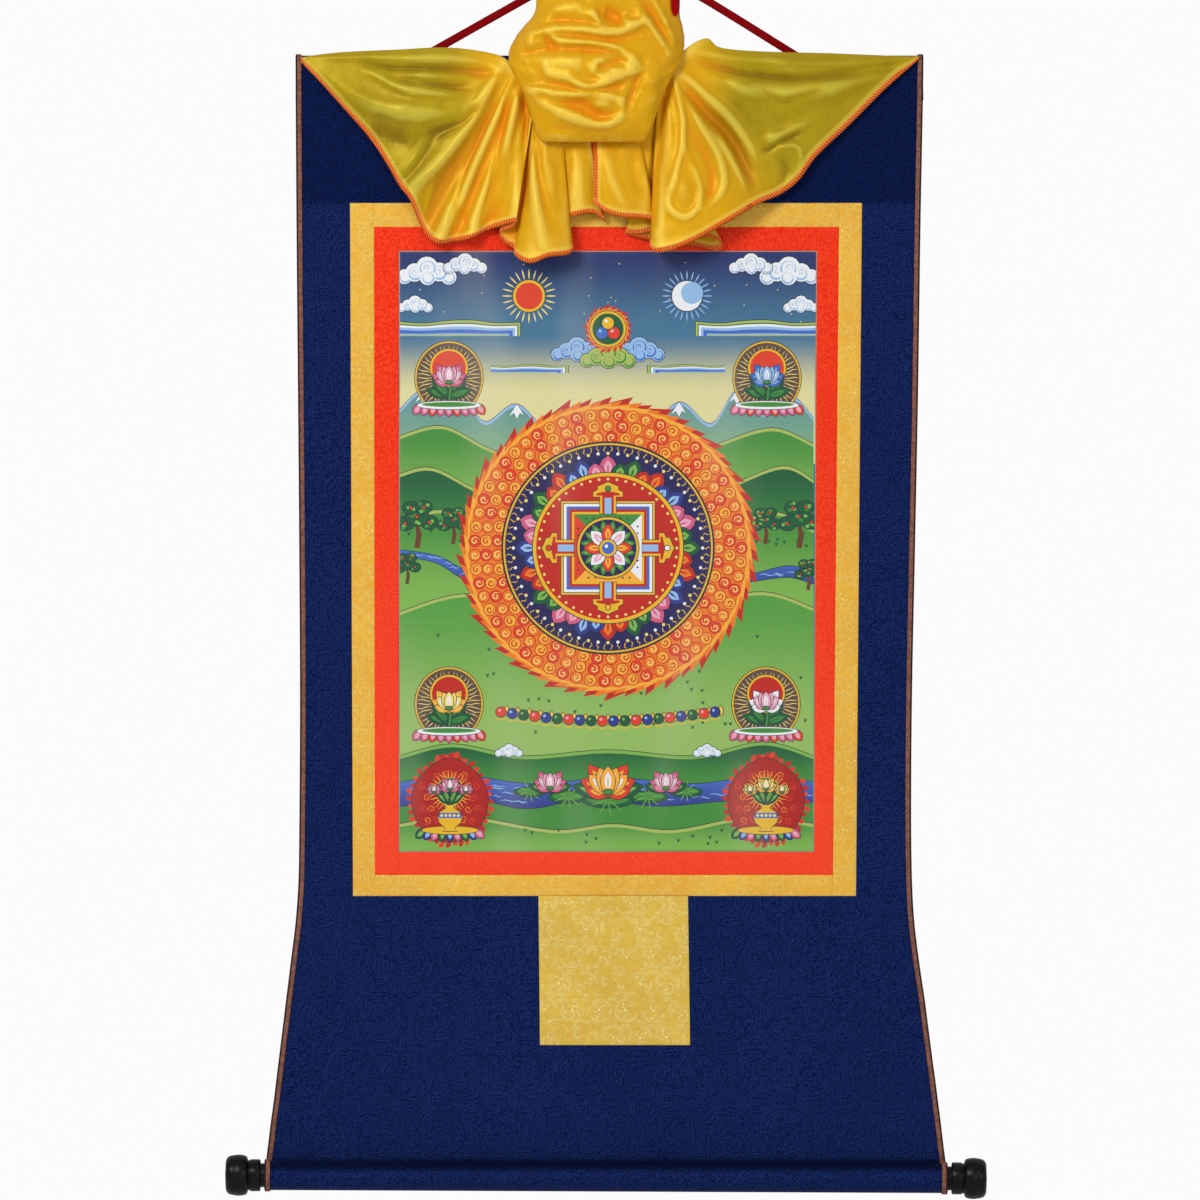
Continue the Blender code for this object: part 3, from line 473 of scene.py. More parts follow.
def yellow_satin():
    """Thin glossy satin: olive where one layer covers the navy, golden where it is gathered; with
    painted shade in the hollows of its folds, painted highlights on their crests, and painted sheen
    in broad patches and in fine streaks along the weave.

    layers runs 0 to 1 from the open wings to the gathers, valley is 1 in the hollows of folds and
    -1 on their crests, and from_edge is the distance from the overlocked hem in mm.
    """
    s = Finish("yellow_satin", 0.4, Specular_IOR_Level=0.6, Specular_Tint=tint(255, 222, 90),
               Anisotropic=0.5)
    layers, valley, from_edge = map(s.attribute, ("layers", "valley", "from_edge"))
    # painted sheen: broad soft patches of lighter colour over the whole satin
    cloud = s.spots(38.0)
    open_cloth = s.mix(cloud, tint(122, 104, 0), tint(172, 151, 14))
    gathered = s.mix(cloud, tint(206, 140, 0), tint(222, 166, 8))
    painted_hollow_shade = s.mix(layers, tint(72, 56, 0), tint(228, 120, 0))
    lit = s.mix(layers, tint(204, 192, 70), tint(250, 218, 92))
    thread_streaks_and_sheen = s.spots(2.4, 2.0, (1.0, 1.0, 0.2))
    stitched = from_edge.rise(4.6, 4.0)
    color = s.mix(layers, open_cloth, gathered)
    # painted shade in the hollows of the folds: dark olive on the open wings, strong orange in the gathers
    color = s.mix(valley.rise(0.05, 0.9) * 0.7, color, painted_hollow_shade)
    # painted highlight along the crests of the folds
    color = s.mix(valley.rise(-0.15, -0.9) * 0.6, color, lit)
    # fine streaks along the weave: slight relief, and painted sheen where they turn lighter
    color = s.mix(thread_streaks_and_sheen * 0.14, color, tint(240, 206, 80))
    color = s.mix(from_edge.rise(9.5, 7.5) * 0.4, color, tint(232, 206, 84))
    color = s.mix(stitched, color, tint(206, 84, 10))
    s.set(Roughness=stitched * 0.25 + cloud * 0.08 + 0.33)
    height = thread_streaks_and_sheen * 0.12 + s.spots(4.5) * from_edge.rise(13.0, 5.0) + s.spots(12.0) * 0.5
    return s.finish(color, "yellow_satin", Normal=s.bump(height, 0.7))


def overlock_thread():
    s = Finish("overlock_thread", 0.5, Specular_IOR_Level=0.3)
    twist = s.spots(0.9, 1.0)
    color = s.mix(twist, tint(244, 112, 30), tint(255, 164, 92))
    return s.finish(color, "yellow_satin", Normal=s.bump(twist, 0.08))


def printed_satin():
    """Printed satin: each shape's own colour under a slight sheen, partly painted in long soft bands, and a
    fine weave.
    """
    s = Finish("printed_satin", 0.42, Specular_IOR_Level=0.35)
    grain = s.spots(1.3)
    # painted sheen: long soft upright bands, lighter and glossier
    painted_sheen_bands = s.spots(70.0, 1.0, (1.0, 1.0, 0.25)).rise(0.45, 0.75)
    s.set(Roughness=painted_sheen_bands * -0.08 + 0.44)
    color = s.mix(painted_sheen_bands * 0.1, s.attribute("tint", "Color"), tint(236, 232, 214))
    color = s.mix(grain * 0.14, color, tint(20, 24, 22))
    height = grain + s.up.ribs(0.7) * s.across.ribs(0.7) * 0.3
    normal = s.bump(height, 0.08, Normal=s.attribute("lean", "Vector"))
    return s.finish(color, "printed_satin", Normal=normal)


# ---- pieced ground ----------------------------------------------------------------------------
def ripple(x, drop):
    """Depth of the hanging cloth's slow waves: none near the stave, the veil and the roller."""
    free = ramp(drop, 320, 520) * (1 - ramp(drop, 1120, 1210))
    return free * RIPPLE * (waves(x / 140, drop / 220) + 0.35 * waves(x / 50, drop / 80, 5.0))


def seam_relief(x, drop, distance):
    """Depth near a sewn edge: the cloth lies back in the seam and puckers beside it."""
    back = -SEAM_DIP * math.exp(-(distance / SEAM_WIDTH) ** 2)
    return back + PUCKER * waves(x / 6, drop / 6, 9.0) * math.exp(-distance / PUCKER_REACH)


def panel_rows(left, right, drops, sewn, lift=0.0):
    """Rows of points of a flat piece; left and right give x at a drop, sewn names seamed edges."""
    top, bottom = drops[0], drops[-1]
    middle = (top + bottom) / 2
    shares = spaced(right(middle) - left(middle), CELL)
    rows = []
    for drop in drops:
        start, end = left(drop), right(drop)
        row = []
        for share in shares:
            x = start + (end - start) * share
            away = {"left": x - start, "right": end - x, "top": drop - top, "bottom": bottom - drop}
            nearest = min((away[edge] for edge in sewn), default=math.inf)
            depth = ripple(x, drop) + seam_relief(x, drop, nearest) + lift
            row.append(world(x, drop, depth))
        rows.append(row)
    return rows


def spaced_drops(top, bottom):
    return [top + (bottom - top) * share for share in spaced(bottom - top, CELL)]


def hang(item, width, length, **facts):
    """Turns a cloth's flat width and length from millimetres into metres, and keeps neither."""
    width * MM
    length * MM


def flat_panel(name, left, right, top, bottom, material, sewn, lift=0.0, thickness=SILK):
    """Straight piece of the ground or of its frames, in place of the solid of that name."""
    rows = panel_rows(left, right, spaced_drops(top, bottom), sewn, lift)
    item = add_grid(f"{name}_cloth", rows, thickness, material)
    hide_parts(name)
    middle = (top + bottom) / 2
    hang(item, right(middle) - left(middle), bottom - top)


def build_frame(prefix, outer, inner, material):
    every = ("left", "right", "top", "bottom")
    for side in ("left", "right"):
        lines = [lambda d, s=side: frame_side(outer, d, s), lambda d, s=side: frame_side(inner, d, s)]
        if side == "right":
            lines.reverse()
        flat_panel(f"{prefix}_{side}", *lines, outer.top, outer.bottom, material, every)
    for level, top, bottom in (("top", outer.top, inner.top), ("bottom", inner.bottom, outer.bottom)):
        flat_panel(f"{prefix}_{level}", lambda d: frame_side(inner, d, "left"),
                   lambda d: frame_side(inner, d, "right"), top, bottom, material, every)


def build_sides(material):
    for side in ("left", "right"):
        lines = [lambda d, s=side: cloth_edge(d, s), lambda d, s=side: frame_side(GOLD_OUTER, d, s)]
        sewn = ["top", "bottom", "right" if side == "left" else "left"]
        if side == "right":
            lines.reverse()
        flat_panel(f"ground_{side}", *lines, GOLD_OUTER.top, GOLD_OUTER.bottom, material, sewn)


def top_path():
    """Drop and depth of the ground from its seam up, over the stave and down behind it."""
    middle = SLEEVE_TOP + CLOTH / 2 + SLEEVE_RADIUS
    path = [(drop, 0.0) for drop in reversed(spaced_drops(middle, GOLD_OUTER.top))]
    for i in range(1, SLEEVE_STEPS + 1):
        angle = math.pi * i / SLEEVE_STEPS
        path.append((middle - SLEEVE_RADIUS * math.sin(angle), -SLEEVE_RADIUS * (1 - math.cos(angle))))
    flat_end = middle + STAVE_HEIGHT + SLEEVE_SPARE - STAVE_ROUND
    seam_depth = -(CLOTH + BINDING_WALL + 2 * GAP)
    for share in (0.25, 0.5, 0.75, 1.0):
        path.append((middle + (flat_end - middle) * share, -2 * SLEEVE_RADIUS))
    for share in (0.25, 0.5, 0.75, 1.0):
        path.append((flat_end + SLEEVE_SEAM * share,
                     -2 * SLEEVE_RADIUS + (seam_depth + 2 * SLEEVE_RADIUS) * share))
    path.append((flat_end + SLEEVE_SEAM + SEAM_ALLOWANCE, seam_depth))
    return path


def bottom_path():
    """Drop and depth of the ground from its seam down and once round the roller."""
    path = [(drop, 0.0) for drop in spaced_drops(GOLD_OUTER.bottom, ROLLER_DROP)]
    for i in range(1, TURN_STEPS + 1):
        angle = math.radians(CLOTH_TURN * i / TURN_STEPS)
        path.append((ROLLER_DROP + ROLLER_CLOTH_RADIUS * math.sin(angle),
                     ROLLER_CLOTH_RADIUS * (1 - math.cos(angle))))
    return path


def turned_edge(drop, depth, side):
    """Edge of the ground on its path: round the roller and over the stave it keeps one width."""
    if depth > 0:
        drop = ROLLER_DROP
    elif depth < 0:
        drop = SLEEVE_TOP
    return cloth_edge(drop, side)


def path_panel(name, path, material, length):
    """Piece of the ground that goes round the stave or the roller."""
    seam = path[0][0]
    rows = []
    shares = spaced(cloth_edge(seam, "right") - cloth_edge(seam, "left"), CELL)
    for drop, depth in path:
        left, right = (turned_edge(drop, depth, side) for side in ("left", "right"))
        row = []
        for share in shares:
            x = left + (right - left) * share
            out = 0.0
            if depth > 0:
                out = PUCKER * waves(x / 7, 3.0) * (-1 if depth < ROLLER_CLOTH_RADIUS else 1)
            elif depth == 0:
                out = ripple(x, drop) + seam_relief(x, drop, abs(drop - seam))
            row.append(world(x, fallen(x, drop), depth + out))
        rows.append(row)
    item = add_grid(f"{name}_cloth", rows, SILK, material)
    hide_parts(name)
    hang(item, cloth_edge(seam, "right") - cloth_edge(seam, "left"), length)


def path_length(path):
    return sum(math.dist(one, two) for one, two in zip(path, path[1:]))


# ---- folded tape along both sides -------------------------------------------------------------
# Section of the tape: reach inwards from the cloth's edge, and height off its middle.
TapePoint = namedtuple("TapePoint", "reach out")
TAPE_SECTION = [TapePoint(*row) for row in (
    (4.6, 1.7), (3.4, 1.9), (1.2, 1.95), (-0.3, 1.9), (-1, 1.3), (-1.2, 0.4), (-1.2, -0.4), (-1, -1.3),
    (-0.3, -1.9), (1.2, -1.95), (3.4, -1.9), (4.6, -1.7), (4.5, -1.15), (-0.2, -1.05), (-0.2, 1.05),
    (4.5, 1.15),
)]


def bend_normals(stations):
    """Normals in the plane square to X, lengthened at each bend so that walls keep their width."""
    across = Vector((1, 0, 0))
    normals = []
    for index, point in enumerate(stations):
        ahead = (stations[min(index + 1, len(stations) - 1)] - point) * Vector((0, 1, 1))
        behind = (point - stations[max(index - 1, 0)]) * Vector((0, 1, 1))
        one = (behind if behind.length else ahead).normalized()
        two = (ahead if ahead.length else behind).normalized()
        along = (one + two).normalized()
        normals.append(across.cross(along) / along.dot(two))
    return normals


def tape_path():
    """Drop and depth along a whole side: down from behind the stave and round the roller."""
    upper = [(drop, depth) for drop, depth in reversed(top_path())
             if drop <= GOLD_OUTER.top and depth > -2 * SLEEVE_RADIUS + 0.01]
    sides = [(drop, 0.0) for drop in spaced_drops(GOLD_OUTER.top + 2, GOLD_OUTER.bottom - 2)]
    return upper + sides + bottom_path()


def build_tape(side, material):
    path = tape_path()
    stations = []
    for drop, depth in path:
        x = turned_edge(drop, depth, side)
        out = ripple(x, drop) if depth == 0 else 0.0
        stations.append(world(x, fallen(x, drop), depth + out))
    inwards = Vector((1, 0, 0)) if side == "left" else Vector((-1, 0, 0))
    points, reaches = [], []
    distance = 0.0
    for index, (station, normal) in enumerate(zip(stations, bend_normals(stations))):
        if index:
            distance += (station - stations[index - 1]).length / MM
        uneven = 0.35 * waves(distance / 14, 2.0 if side == "left" else 4.0)
        for place in TAPE_SECTION:
            reach = place.reach + (uneven if place.reach > 3 else 0.0)
            points.append(station + inwards * reach * MM + normal * place.out * MM)
            reaches.append(place.reach)
    faces = ring_faces(len(stations), len(TAPE_SECTION))
    item = add_mesh(f"tape_{side}", points, faces, material, reach=reaches)
    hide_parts(f"binding_{side}")
    hang(item, 2 * (BINDING_LIP + BINDING_WALL + GAP) + CLOTH, distance)


# ---- turned knobs -----------------------------------------------------------------------------
Turn = namedtuple("Turn", "along radius")
KNOB_PROFILE = [Turn(*row) for row in (
    (0, 14.6), (0.4, 15.6), (1.2, 16), (9, 16), (10, 15.8), (10.8, 15), (11.6, 14.8), (12.4, 15.4),
    (13.4, 18.2), (14.4, 19.2), (15.6, 19.7), (18.4, 20.4), (22, 20.6), (25, 20.4), (25.6, 19.9),
    (26.2, 20.2), (29, 19.6), (31, 19), (32.6, 18), (33.8, 16.4), (34.6, 14.4), (34.5, 11.8), (34.2, 9),
    (34.5, 8), (34.9, 6.6), (35.2, 4), (35.2, 0),
)]


def roller_ends():
    left, right = edge_at(ROLLER_DROP)
    return left - ROLLER_END + GAP, right + ROLLER_END - GAP


def build_knob(side, material):
    """Turned cap and neck, with the bore that takes the roller's tenon."""
    profile = [Turn(KNOB_BORE_DEPTH, 0.0), Turn(KNOB_BORE_DEPTH, KNOB_BORE), Turn(0.0, KNOB_BORE)]
    profile += KNOB_PROFILE
    left, right = roller_ends()
    x = left - GAP if side == "left" else right + GAP
    axis = Vector((1, 0, -ROLLER_FALL)).normalized() * (-1 if side == "left" else 1)
    upright = Vector((ROLLER_FALL, 0, 1)).normalized()
    toward = Vector((0, -1, 0))
    base = world(x, fallen(x, ROLLER_DROP), ROLLER_CLOTH_RADIUS)
    points = []
    for turn in profile:
        for i in range(TURNED_STEPS):
            angle = math.tau * i / TURNED_STEPS
            out = upright * math.cos(angle) + toward * math.sin(angle)
            points.append(base + axis * turn.along * MM + out * max(turn.radius, 0.01) * MM)
    faces = ring_faces(len(profile), TURNED_STEPS)[:-2]
    if side == "left":
        faces = [face[::-1] for face in faces]
    item = add_mesh(f"turned_knob_{side}", points, faces, material)
    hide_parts(f"knob_{side}")


# ---- hanging ribbon ---------------------------------------------------------------------------
RibbonPoint = namedtuple("RibbonPoint", "x drop")
RIBBON_ROUTE = [RibbonPoint(*row) for row in (
    (-231, 135), (-209, 122.6), (-169, 100), (-98, 60), (-40, 27.3), (-14, 12.6), (-5, 8), (4, 6.3),
    (13, 8.4), (22, 13.4), (48, 29.4), (101, 60), (172, 104), (197, 119.5), (222, 135),
)]
RIBBON_SAMPLES = 12
RIBBON_HALF_THICK = 0.45
RIBBON_PLACES = (-1.0, -0.6, 0.0, 0.6, 1.0)


def build_ribbon(material):
    """Flat on the wall along both legs, turned edge-on where it passes over the nail."""
    count = RIBBON_SAMPLES * (len(RIBBON_ROUTE) - 1)
    route = [sample(RIBBON_ROUTE, i / RIBBON_SAMPLES) for i in range(count + 1)]
    centres = [Vector((point.x * MM, 0, -point.drop * MM)) for point in route]
    lengths = [0.0]
    for one, two in zip(centres, centres[1:]):
        lengths.append(lengths[-1] + (two - one).length / MM)
    crest = lengths[max(range(len(centres)), key=lambda i: centres[i].z)]
    points, along_values, wide_values = [], [], []
    for index, centre in enumerate(centres):
        behind, ahead = centres[max(index - 1, 0)], centres[min(index + 1, count)]
        along = (ahead - behind).normalized()
        flat = Vector((-along.z, 0, along.x))
        turn = min(1.0, abs(lengths[index] - crest) / RIBBON_TWIST_LENGTH)
        angle = math.pi / 2 * (1 - turn * turn * (3 - 2 * turn))
        wide = flat * math.cos(angle) + Vector((0, 1, 0)) * math.sin(angle)
        thin = along.cross(wide)
        half = RIBBON_WIDTH / 2 * (1 - 0.02 * abs(waves(lengths[index] / 9)))
        for side in (1, -1):
            for place in RIBBON_PLACES[::side]:
                crown = RIBBON_HALF_THICK * (1 - 0.45 * abs(place) ** 3)
                points.append(centre + wide * (place * half * MM) + thin * (side * crown * MM))
                along_values.append(lengths[index])
                wide_values.append(place * half)
    faces = ring_faces(count + 1, 2 * len(RIBBON_PLACES))
    item = add_mesh("ribbon_loop", points, faces, material, along=along_values, wide=wide_values)
    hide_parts("hanging_ribbon")


# ---- veil -------------------------------------------------------------------------------------
Top = namedtuple("Top", "x drop depth")
TOP_LINE = [Top(*row) for row in (
    (-311, 114, 3.6), (-273, 109, 6), (-213, 106, 7), (-173, 104, 8), (-143, 106, 8), (-118, 111, 8),
    (-106, 117, 11), (-100, 126, 13), (-92, 138, 14), (-84, 149, 14), (-76, 163, 13), (-64, 176, 11),
    (-45, 184, 10), (-20, 187, 10), (7, 185, 10), (28, 175, 11), (40, 160, 13), (47, 144, 14),
    (51, 132, 15), (57, 122, 16), (76, 103, 12), (94, 95, 9), (107, 104, 8), (147, 108, 7),
    (217, 110, 6), (287, 113, 5), (305, 113, 3.6),
)]
GATHER_LEFT, GATHER_MIDDLE, GATHER_RIGHT = 7, 13, 19

Hem = namedtuple("Hem", "x drop depth top")
HEM_LEFT = [Hem(*row) for row in (
    (-312, 118, 3.8, 0), (-291, 140, 5, 0.7), (-266, 168, 6, 1.4), (-241, 197, 8, 2.4),
    (-225, 222, 9, 3.6), (-213, 243, 10, 5), (-203, 256, 16, 6), (-194, 278, 7, 6.7), (-186, 292, 8, 7),
    (-175, 300, 18, 7.3), (-160, 298, 9, 7.8), (-143, 295, 19, 8.3), (-127, 287, 10, 8.8),
    (-111, 282, 17, 9.2), (-97, 279, 25, 9.6), (-102, 285, 19, 9.8), (-113, 289, 11, 9.95),
    (-109, 299, 8, 10.1), (-99, 305, 11, 10.25), (-97, 313, 20, 10.4), (-83, 320, 29, 10.7),
    (-64, 314, 31, 11.1), (-44, 311, 25, 11.5), (-41, 303, 16, 11.7), (-54, 296, 10, 11.85),
    (-59, 287, 8, 12), (-53, 277, 11, 12.2), (-37, 272, 16, 12.5), (-20, 270, 14, 12.8),
    (-8, 278, 11, 13),
)]
HEM_RIGHT = [Hem(*row) for row in (
    (-19, 259, 22, 13), (-7, 269, 23, 13.3), (9, 274, 24, 13.7), (27, 275, 22, 14.1),
    (43, 278, 18, 14.5), (45, 285, 12, 14.75), (27, 290, 8, 15), (13, 290, 6, 15.15),
    (42, 297, 5, 15.35), (85, 303, 5, 15.6), (105, 306, 6.5, 15.75), (109, 299, 10, 15.9),
    (95, 294, 13, 16.05), (60, 294, 15, 16.25), (39, 298, 19, 16.45), (39, 307, 25, 16.6),
    (49, 309, 31, 16.85), (77, 300, 35, 17.4), (118, 277, 28, 18.3), (146, 260, 20, 19),
    (168, 250, 12, 19.6), (186, 236, 12, 20.4), (203, 213, 10, 21.4), (237, 180, 8, 22.6),
    (272, 145, 6, 24), (304, 117, 3.8, 26),
)]

Level = namedtuple(
    "Level", "left_x left_drop right_x right_drop middle_drop side_depth middle_depth wrap flat")
BUNDLE = [Level(*row) for row in (
    (-101, 127, 60, 127, 196, 14, 20, 0, 1), (-102, 125, 62, 125, 199, 15, 28, 0, 1),
    (-103, 122, 64, 122, 194, 15, 35, 0, 1), (-104, 119, 66, 119, 188, 15, 39, 0, 0.9),
    (-104, 117, 67, 117, 181, 15, 42, 0.01, 0.6), (-104, 114, 68, 114, 167, 15, 44, 0.01, 0.4),
    (-104, 112, 69, 112, 155, 15, 45, 0.02, 0.2), (-104, 110, 70, 110, 149, 15, 46, 0.02, 0),
    (-103, 106, 70, 107, 141, 15, 46, 0.03, 0), (-101, 101, 71, 103, 124, 15, 46, 0.04, 0),
    (-98, 96, 71, 98, 106, 15, 45, 0.05, 0), (-96, 92, 71, 93, 98, 15, 44, 0.06, 0),
    (-92, 87, 70, 88, 89, 15, 42, 0.07, 0), (-87, 81, 69, 82, 79, 15, 40, 0.09, 0),
    (-81, 75, 67, 76, 68, 15, 38, 0.1, 0), (-77, 66, 66, 66, 57, 15, 37, 0.11, 0),
    (-76, 52, 65, 52, 44, 15, 36, 0.12, 0), (-73, 35, 61, 35, 28, 15, 35, 0.12, 0),
    (-65, 20, 53, 20, 12, 15, 33, 0.12, 0), (-52, 8, 41, 8, 0, 15, 28, 0.11, 0),
    (-38, 2, 29, 2, -7, 13, 21, 0.08, 0), (-34, 3, 26, 3, -3, 9, 12, 0.04, 0),
    (-36, 16, 28, 16, 14, 6, 6.5, 0, 0), (-40, 38, 32, 38, 38, 5, 5.5, 0, 0),
)]
BUNDLE_CREST = 20.0
FOLD_LEVELS = 1.5
TURNED_BACK = 4.0
FLAT_SHOULDER = 0.4

# Folds, listed one by one: height forward (negative is a hollow), width, and the places (x, drop) that
# the fold runs through.
WING_CREASES = (
    # left wing: hollow under the top roll, swags, the dark pocket and the long ridge beside it
    (-5, 4, (-246, 120), (-216, 125), (-185, 125), (-151, 127), (-116, 131)),
    (2.5, 5, (-290, 113), (-216, 113), (-160, 114), (-118, 120)),
    (3.5, 4.5, (-242, 129), (-227, 137), (-206, 146), (-177, 150), (-151, 150), (-128, 146)),
    (-3.5, 5, (-222, 135), (-180, 141), (-140, 148)),
    (6, 11, (-289, 133), (-266, 150), (-237, 163), (-202, 170), (-168, 169), (-137, 159)),
    (-7, 15, (-245, 182), (-222, 193), (-203, 200)),
    (3, 4, (-186, 189), (-198, 214), (-213, 231)),
    (6, 5.5, (-115, 127), (-132, 165), (-151, 194), (-173, 220), (-192, 236), (-203, 243)),
    (-3.5, 4.5, (-128, 158), (-152, 180), (-186, 193)),
    # left fan
    (-4.5, 4, (-116, 160), (-137, 206), (-153, 248), (-162, 275)),
    (3.5, 4, (-110, 156), (-128, 199), (-142, 230), (-151, 262)),
    (-4.5, 4, (-105, 158), (-114, 206), (-122, 243), (-135, 280)),
    (4.5, 5, (-96, 139), (-101, 186), (-110, 237), (-119, 266)),
    (-8, 5, (-90, 136), (-86, 165), (-87, 208), (-91, 262)),
    (5.5, 4, (-82, 172), (-81.5, 215), (-77.5, 256), (-70, 302)),
    (-3, 5, (-77, 199), (-71, 242), (-59, 286)),
    (2.5, 2.5, (-178, 237), (-185, 258), (-189, 271)),
    (2.5, 2.5, (-163, 262), (-168, 279), (-166, 290)),
    (-2, 2.5, (-152, 268), (-147, 281), (-142, 289)),
    # middle panels
    (-2.5, 6, (-57, 205), (-54, 238), (-55, 268)),
    (2.5, 7, (-38, 205), (-36, 240), (-36, 266)),
    (2.5, 6, (-8, 205), (-2, 235), (10, 262)),
    (-2.5, 6, (22, 206), (20, 228), (30, 252)),
    # right fan
    (-7, 5, (54, 129), (48, 178), (43, 228), (40, 280)),
    (4.5, 4, (59, 129), (67, 160), (70, 186), (67, 214), (58, 246)),
    (4, 3.5, (72, 205), (86, 242), (86, 261), (74, 274), (60, 269), (55, 256), (62, 235)),
    (2.5, 7, (72, 232), (71, 250), (70, 262)),
    (4, 4, (70, 150), (88, 183), (104, 209), (111, 235), (106, 252), (90, 269)),
    (-3, 5, (80, 190), (96, 222), (99, 244), (94, 256)),
    (-9, 6.5, (76, 150), (96, 172), (111, 186), (126, 209), (138, 240)),
    (3.5, 3, (106, 194), (120, 219), (133, 247)),
    # right wing: hollow under the top roll, swags and short creases
    (5, 5, (63, 127), (93, 152), (112, 170), (133, 198), (142, 217)),
    (-5.5, 5, (88, 120), (136, 131), (183, 135), (230, 131), (277, 122)),
    (2.5, 5, (85, 110), (140, 116), (210, 119), (280, 115)),
    (5, 10, (110, 140), (150, 150), (200, 150), (262, 131)),
    (-3, 5, (150, 149), (171, 158), (207, 147)),
    (-4, 2.5, (149, 209), (168, 199), (188, 188)),
    (3, 5, (150, 200), (170, 190), (196, 178)),
    (3, 3, (164, 202), (183, 203), (188, 216), (184, 234)),
    (-2.5, 6, (166, 214), (172, 224), (170, 238)),
)
BUNDLE_CREASES = (
    # upper bands and the hollow pocket at the top right
    (5, 10.8, (-74, 79), (-53, 67), (-35, 69), (-20, 77)),
    (-3, 6.8, (-75, 86), (-47, 78), (-26, 82), (-8, 86)),
    (-8, 9.5, (-9, 72), (2, 74), (11, 77)),
    (4, 4.1, (-22, 66), (-17, 76), (-12, 84)),
    (4.5, 4.1, (4, 66), (13, 79), (22, 82), (30, 80)),
    # long folds from the top right down to the right gather
    (4.5, 4.7, (21, 58), (40, 87), (53, 106), (57, 118)),
    (-4, 4.7, (30, 56), (47, 84), (58, 104)),
    (4.5, 4.7, (40, 57), (54, 84), (64, 112)),
    # first big cowl fold over the pocket at the left
    (5.5, 5.4, (-96, 108), (-92, 97), (-82, 91), (-67, 87), (-47, 87), (-26, 88), (-8, 91), (12, 88),
     (30, 80)),
    (-5, 4.7, (-60, 92), (-35, 94), (-13, 97), (6, 98), (24, 92)),
    (3.5, 6.8, (-88, 103), (-78, 99)),
    (-6, 4.1, (-68, 93), (-64, 100), (-58, 107)),
    (-4, 4.1, (-93, 111), (-75, 108), (-58, 106)),
    # second fold, the lip of the swirl
    (5, 4.1, (-66, 92), (-56, 97), (-43, 100), (-23, 101), (-6, 104), (8, 110), (18, 117)),
    (-5.5, 4.7, (-55, 107), (-26, 106), (-2, 109), (11, 115)),
    # swirl
    (5.5, 4.3, (-67, 120), (-66, 129), (-58, 134), (-47, 136), (-38, 141), (-26, 145), (-10, 142),
     (2, 136), (14, 131), (25, 129), (27, 125), (22, 122), (11, 124), (0, 129)),
    (4, 3.8, (0, 129), (-10, 133), (-17, 131), (-20, 126), (-16, 121), (-6, 117), (8, 115), (18, 116)),
    (-5, 4.3, (-15, 126), (-3, 121), (12, 118)),
    (3, 10.8, (-60, 118), (-44, 122), (-30, 124)),
    (-4, 6.1, (-72, 140), (-48, 143), (-26, 150), (0, 146), (16, 138)),
    # lower swag with its deep hollow
    (5.5, 4.3, (-90, 146), (-72, 148), (-53, 152), (-35, 152.5), (-17, 152), (-3, 154), (9, 158)),
    (-8, 8.1, (-52, 157), (-32, 163), (-18, 172), (-2, 174)),
    (3, 5.4, (-20, 162), (-10, 163), (-2, 167)),
    (5, 4.3, (-80, 152), (-72, 160), (-53, 169), (-35, 177), (-20, 181), (-6, 182), (5, 177),
     (10, 169), (9, 160)),
    (-3, 8.1, (-72, 176), (-45, 188), (-15, 191)),
    # smooth drapes at the right
    (-4.5, 4.7, (30, 117), (26, 134), (19, 152), (12, 170)),
    (4, 9.5, (46, 124), (40, 145), (33, 172)),
    (-3, 5.4, (53, 128), (50, 150), (44, 176)),
)

COLUMN_STEP = 3.4
WING_ROWS = 54
BUNDLE_STEPS = 4           # rows of the mesh for each level of the bundle
PLEAT_GROWTH = 0.7
WING_BELLY = 9.0
WING_FADE = 4.0
SHEER_LEFT, SHEER_RIGHT, SHEER_FADE = 7.4, 18.2, 1.9
SHEER_START = (8.0, 75.0)  # distances from the gathers over which one layer is left
SHEER_SHARE = 0.92
VEIL_MIDDLE = -19.5
GATHER_SPOT = (83.5, 125.0)
FULL_RIB = 120.0
FOLD_SAMPLES = 4
FOLD_END = 0.04            # last share of a fold's line, along which its height stays the same
FOLD_REACH = 2.4           # widths from its line at which a fold still pushes the cloth
FOLD_MARGIN = 0.1
FOLD_AT_HEM = 0.4
VEIL_CLEARANCE = 3.5
SEWN_DROP = 117.0
SEWN_DEPTH = 1.65
SEWN_REACH = (-307.0, 300.0)
ROLL_STEPS = 4
ROLL_RISE, ROLL_FORWARD = 2.0, 0.5
SLIT_REACH = 1.2           # steps of the top line from the slit within which its hem shows
FAR_FROM_HEM = 99.0
VALLEY_ROUNDS = 26         # steps of smoothing that show where the folds are hollow
VALLEY_DEPTH = 3.0         # depth of a full valley


Place = namedtuple("Place", "x drop")
Fold = namedtuple("Fold", "height width line box")


def trace_fold(height, width, *places):
    """Fold with points on it, each with its share of the height, and the box that it reaches."""
    path = [Place(*place) for place in places]
    count = FOLD_SAMPLES * (len(path) - 1)
    line = []
    for i in range(count + 1):
        share = min(max(i / count, FOLD_END), 1 - FOLD_END)
        line.append((*sample(path, i / FOLD_SAMPLES), math.sin(math.pi * share) ** 0.5))
    reach = FOLD_REACH * width
    across, down, _ = zip(*line)
    box = (min(across) - reach, max(across) + reach, min(down) - reach, max(down) + reach)
    return Fold(height, width, line, box)


WING_FOLDS = [trace_fold(*row) for row in WING_CREASES]
BUNDLE_FOLDS = [trace_fold(*row) for row in BUNDLE_CREASES]


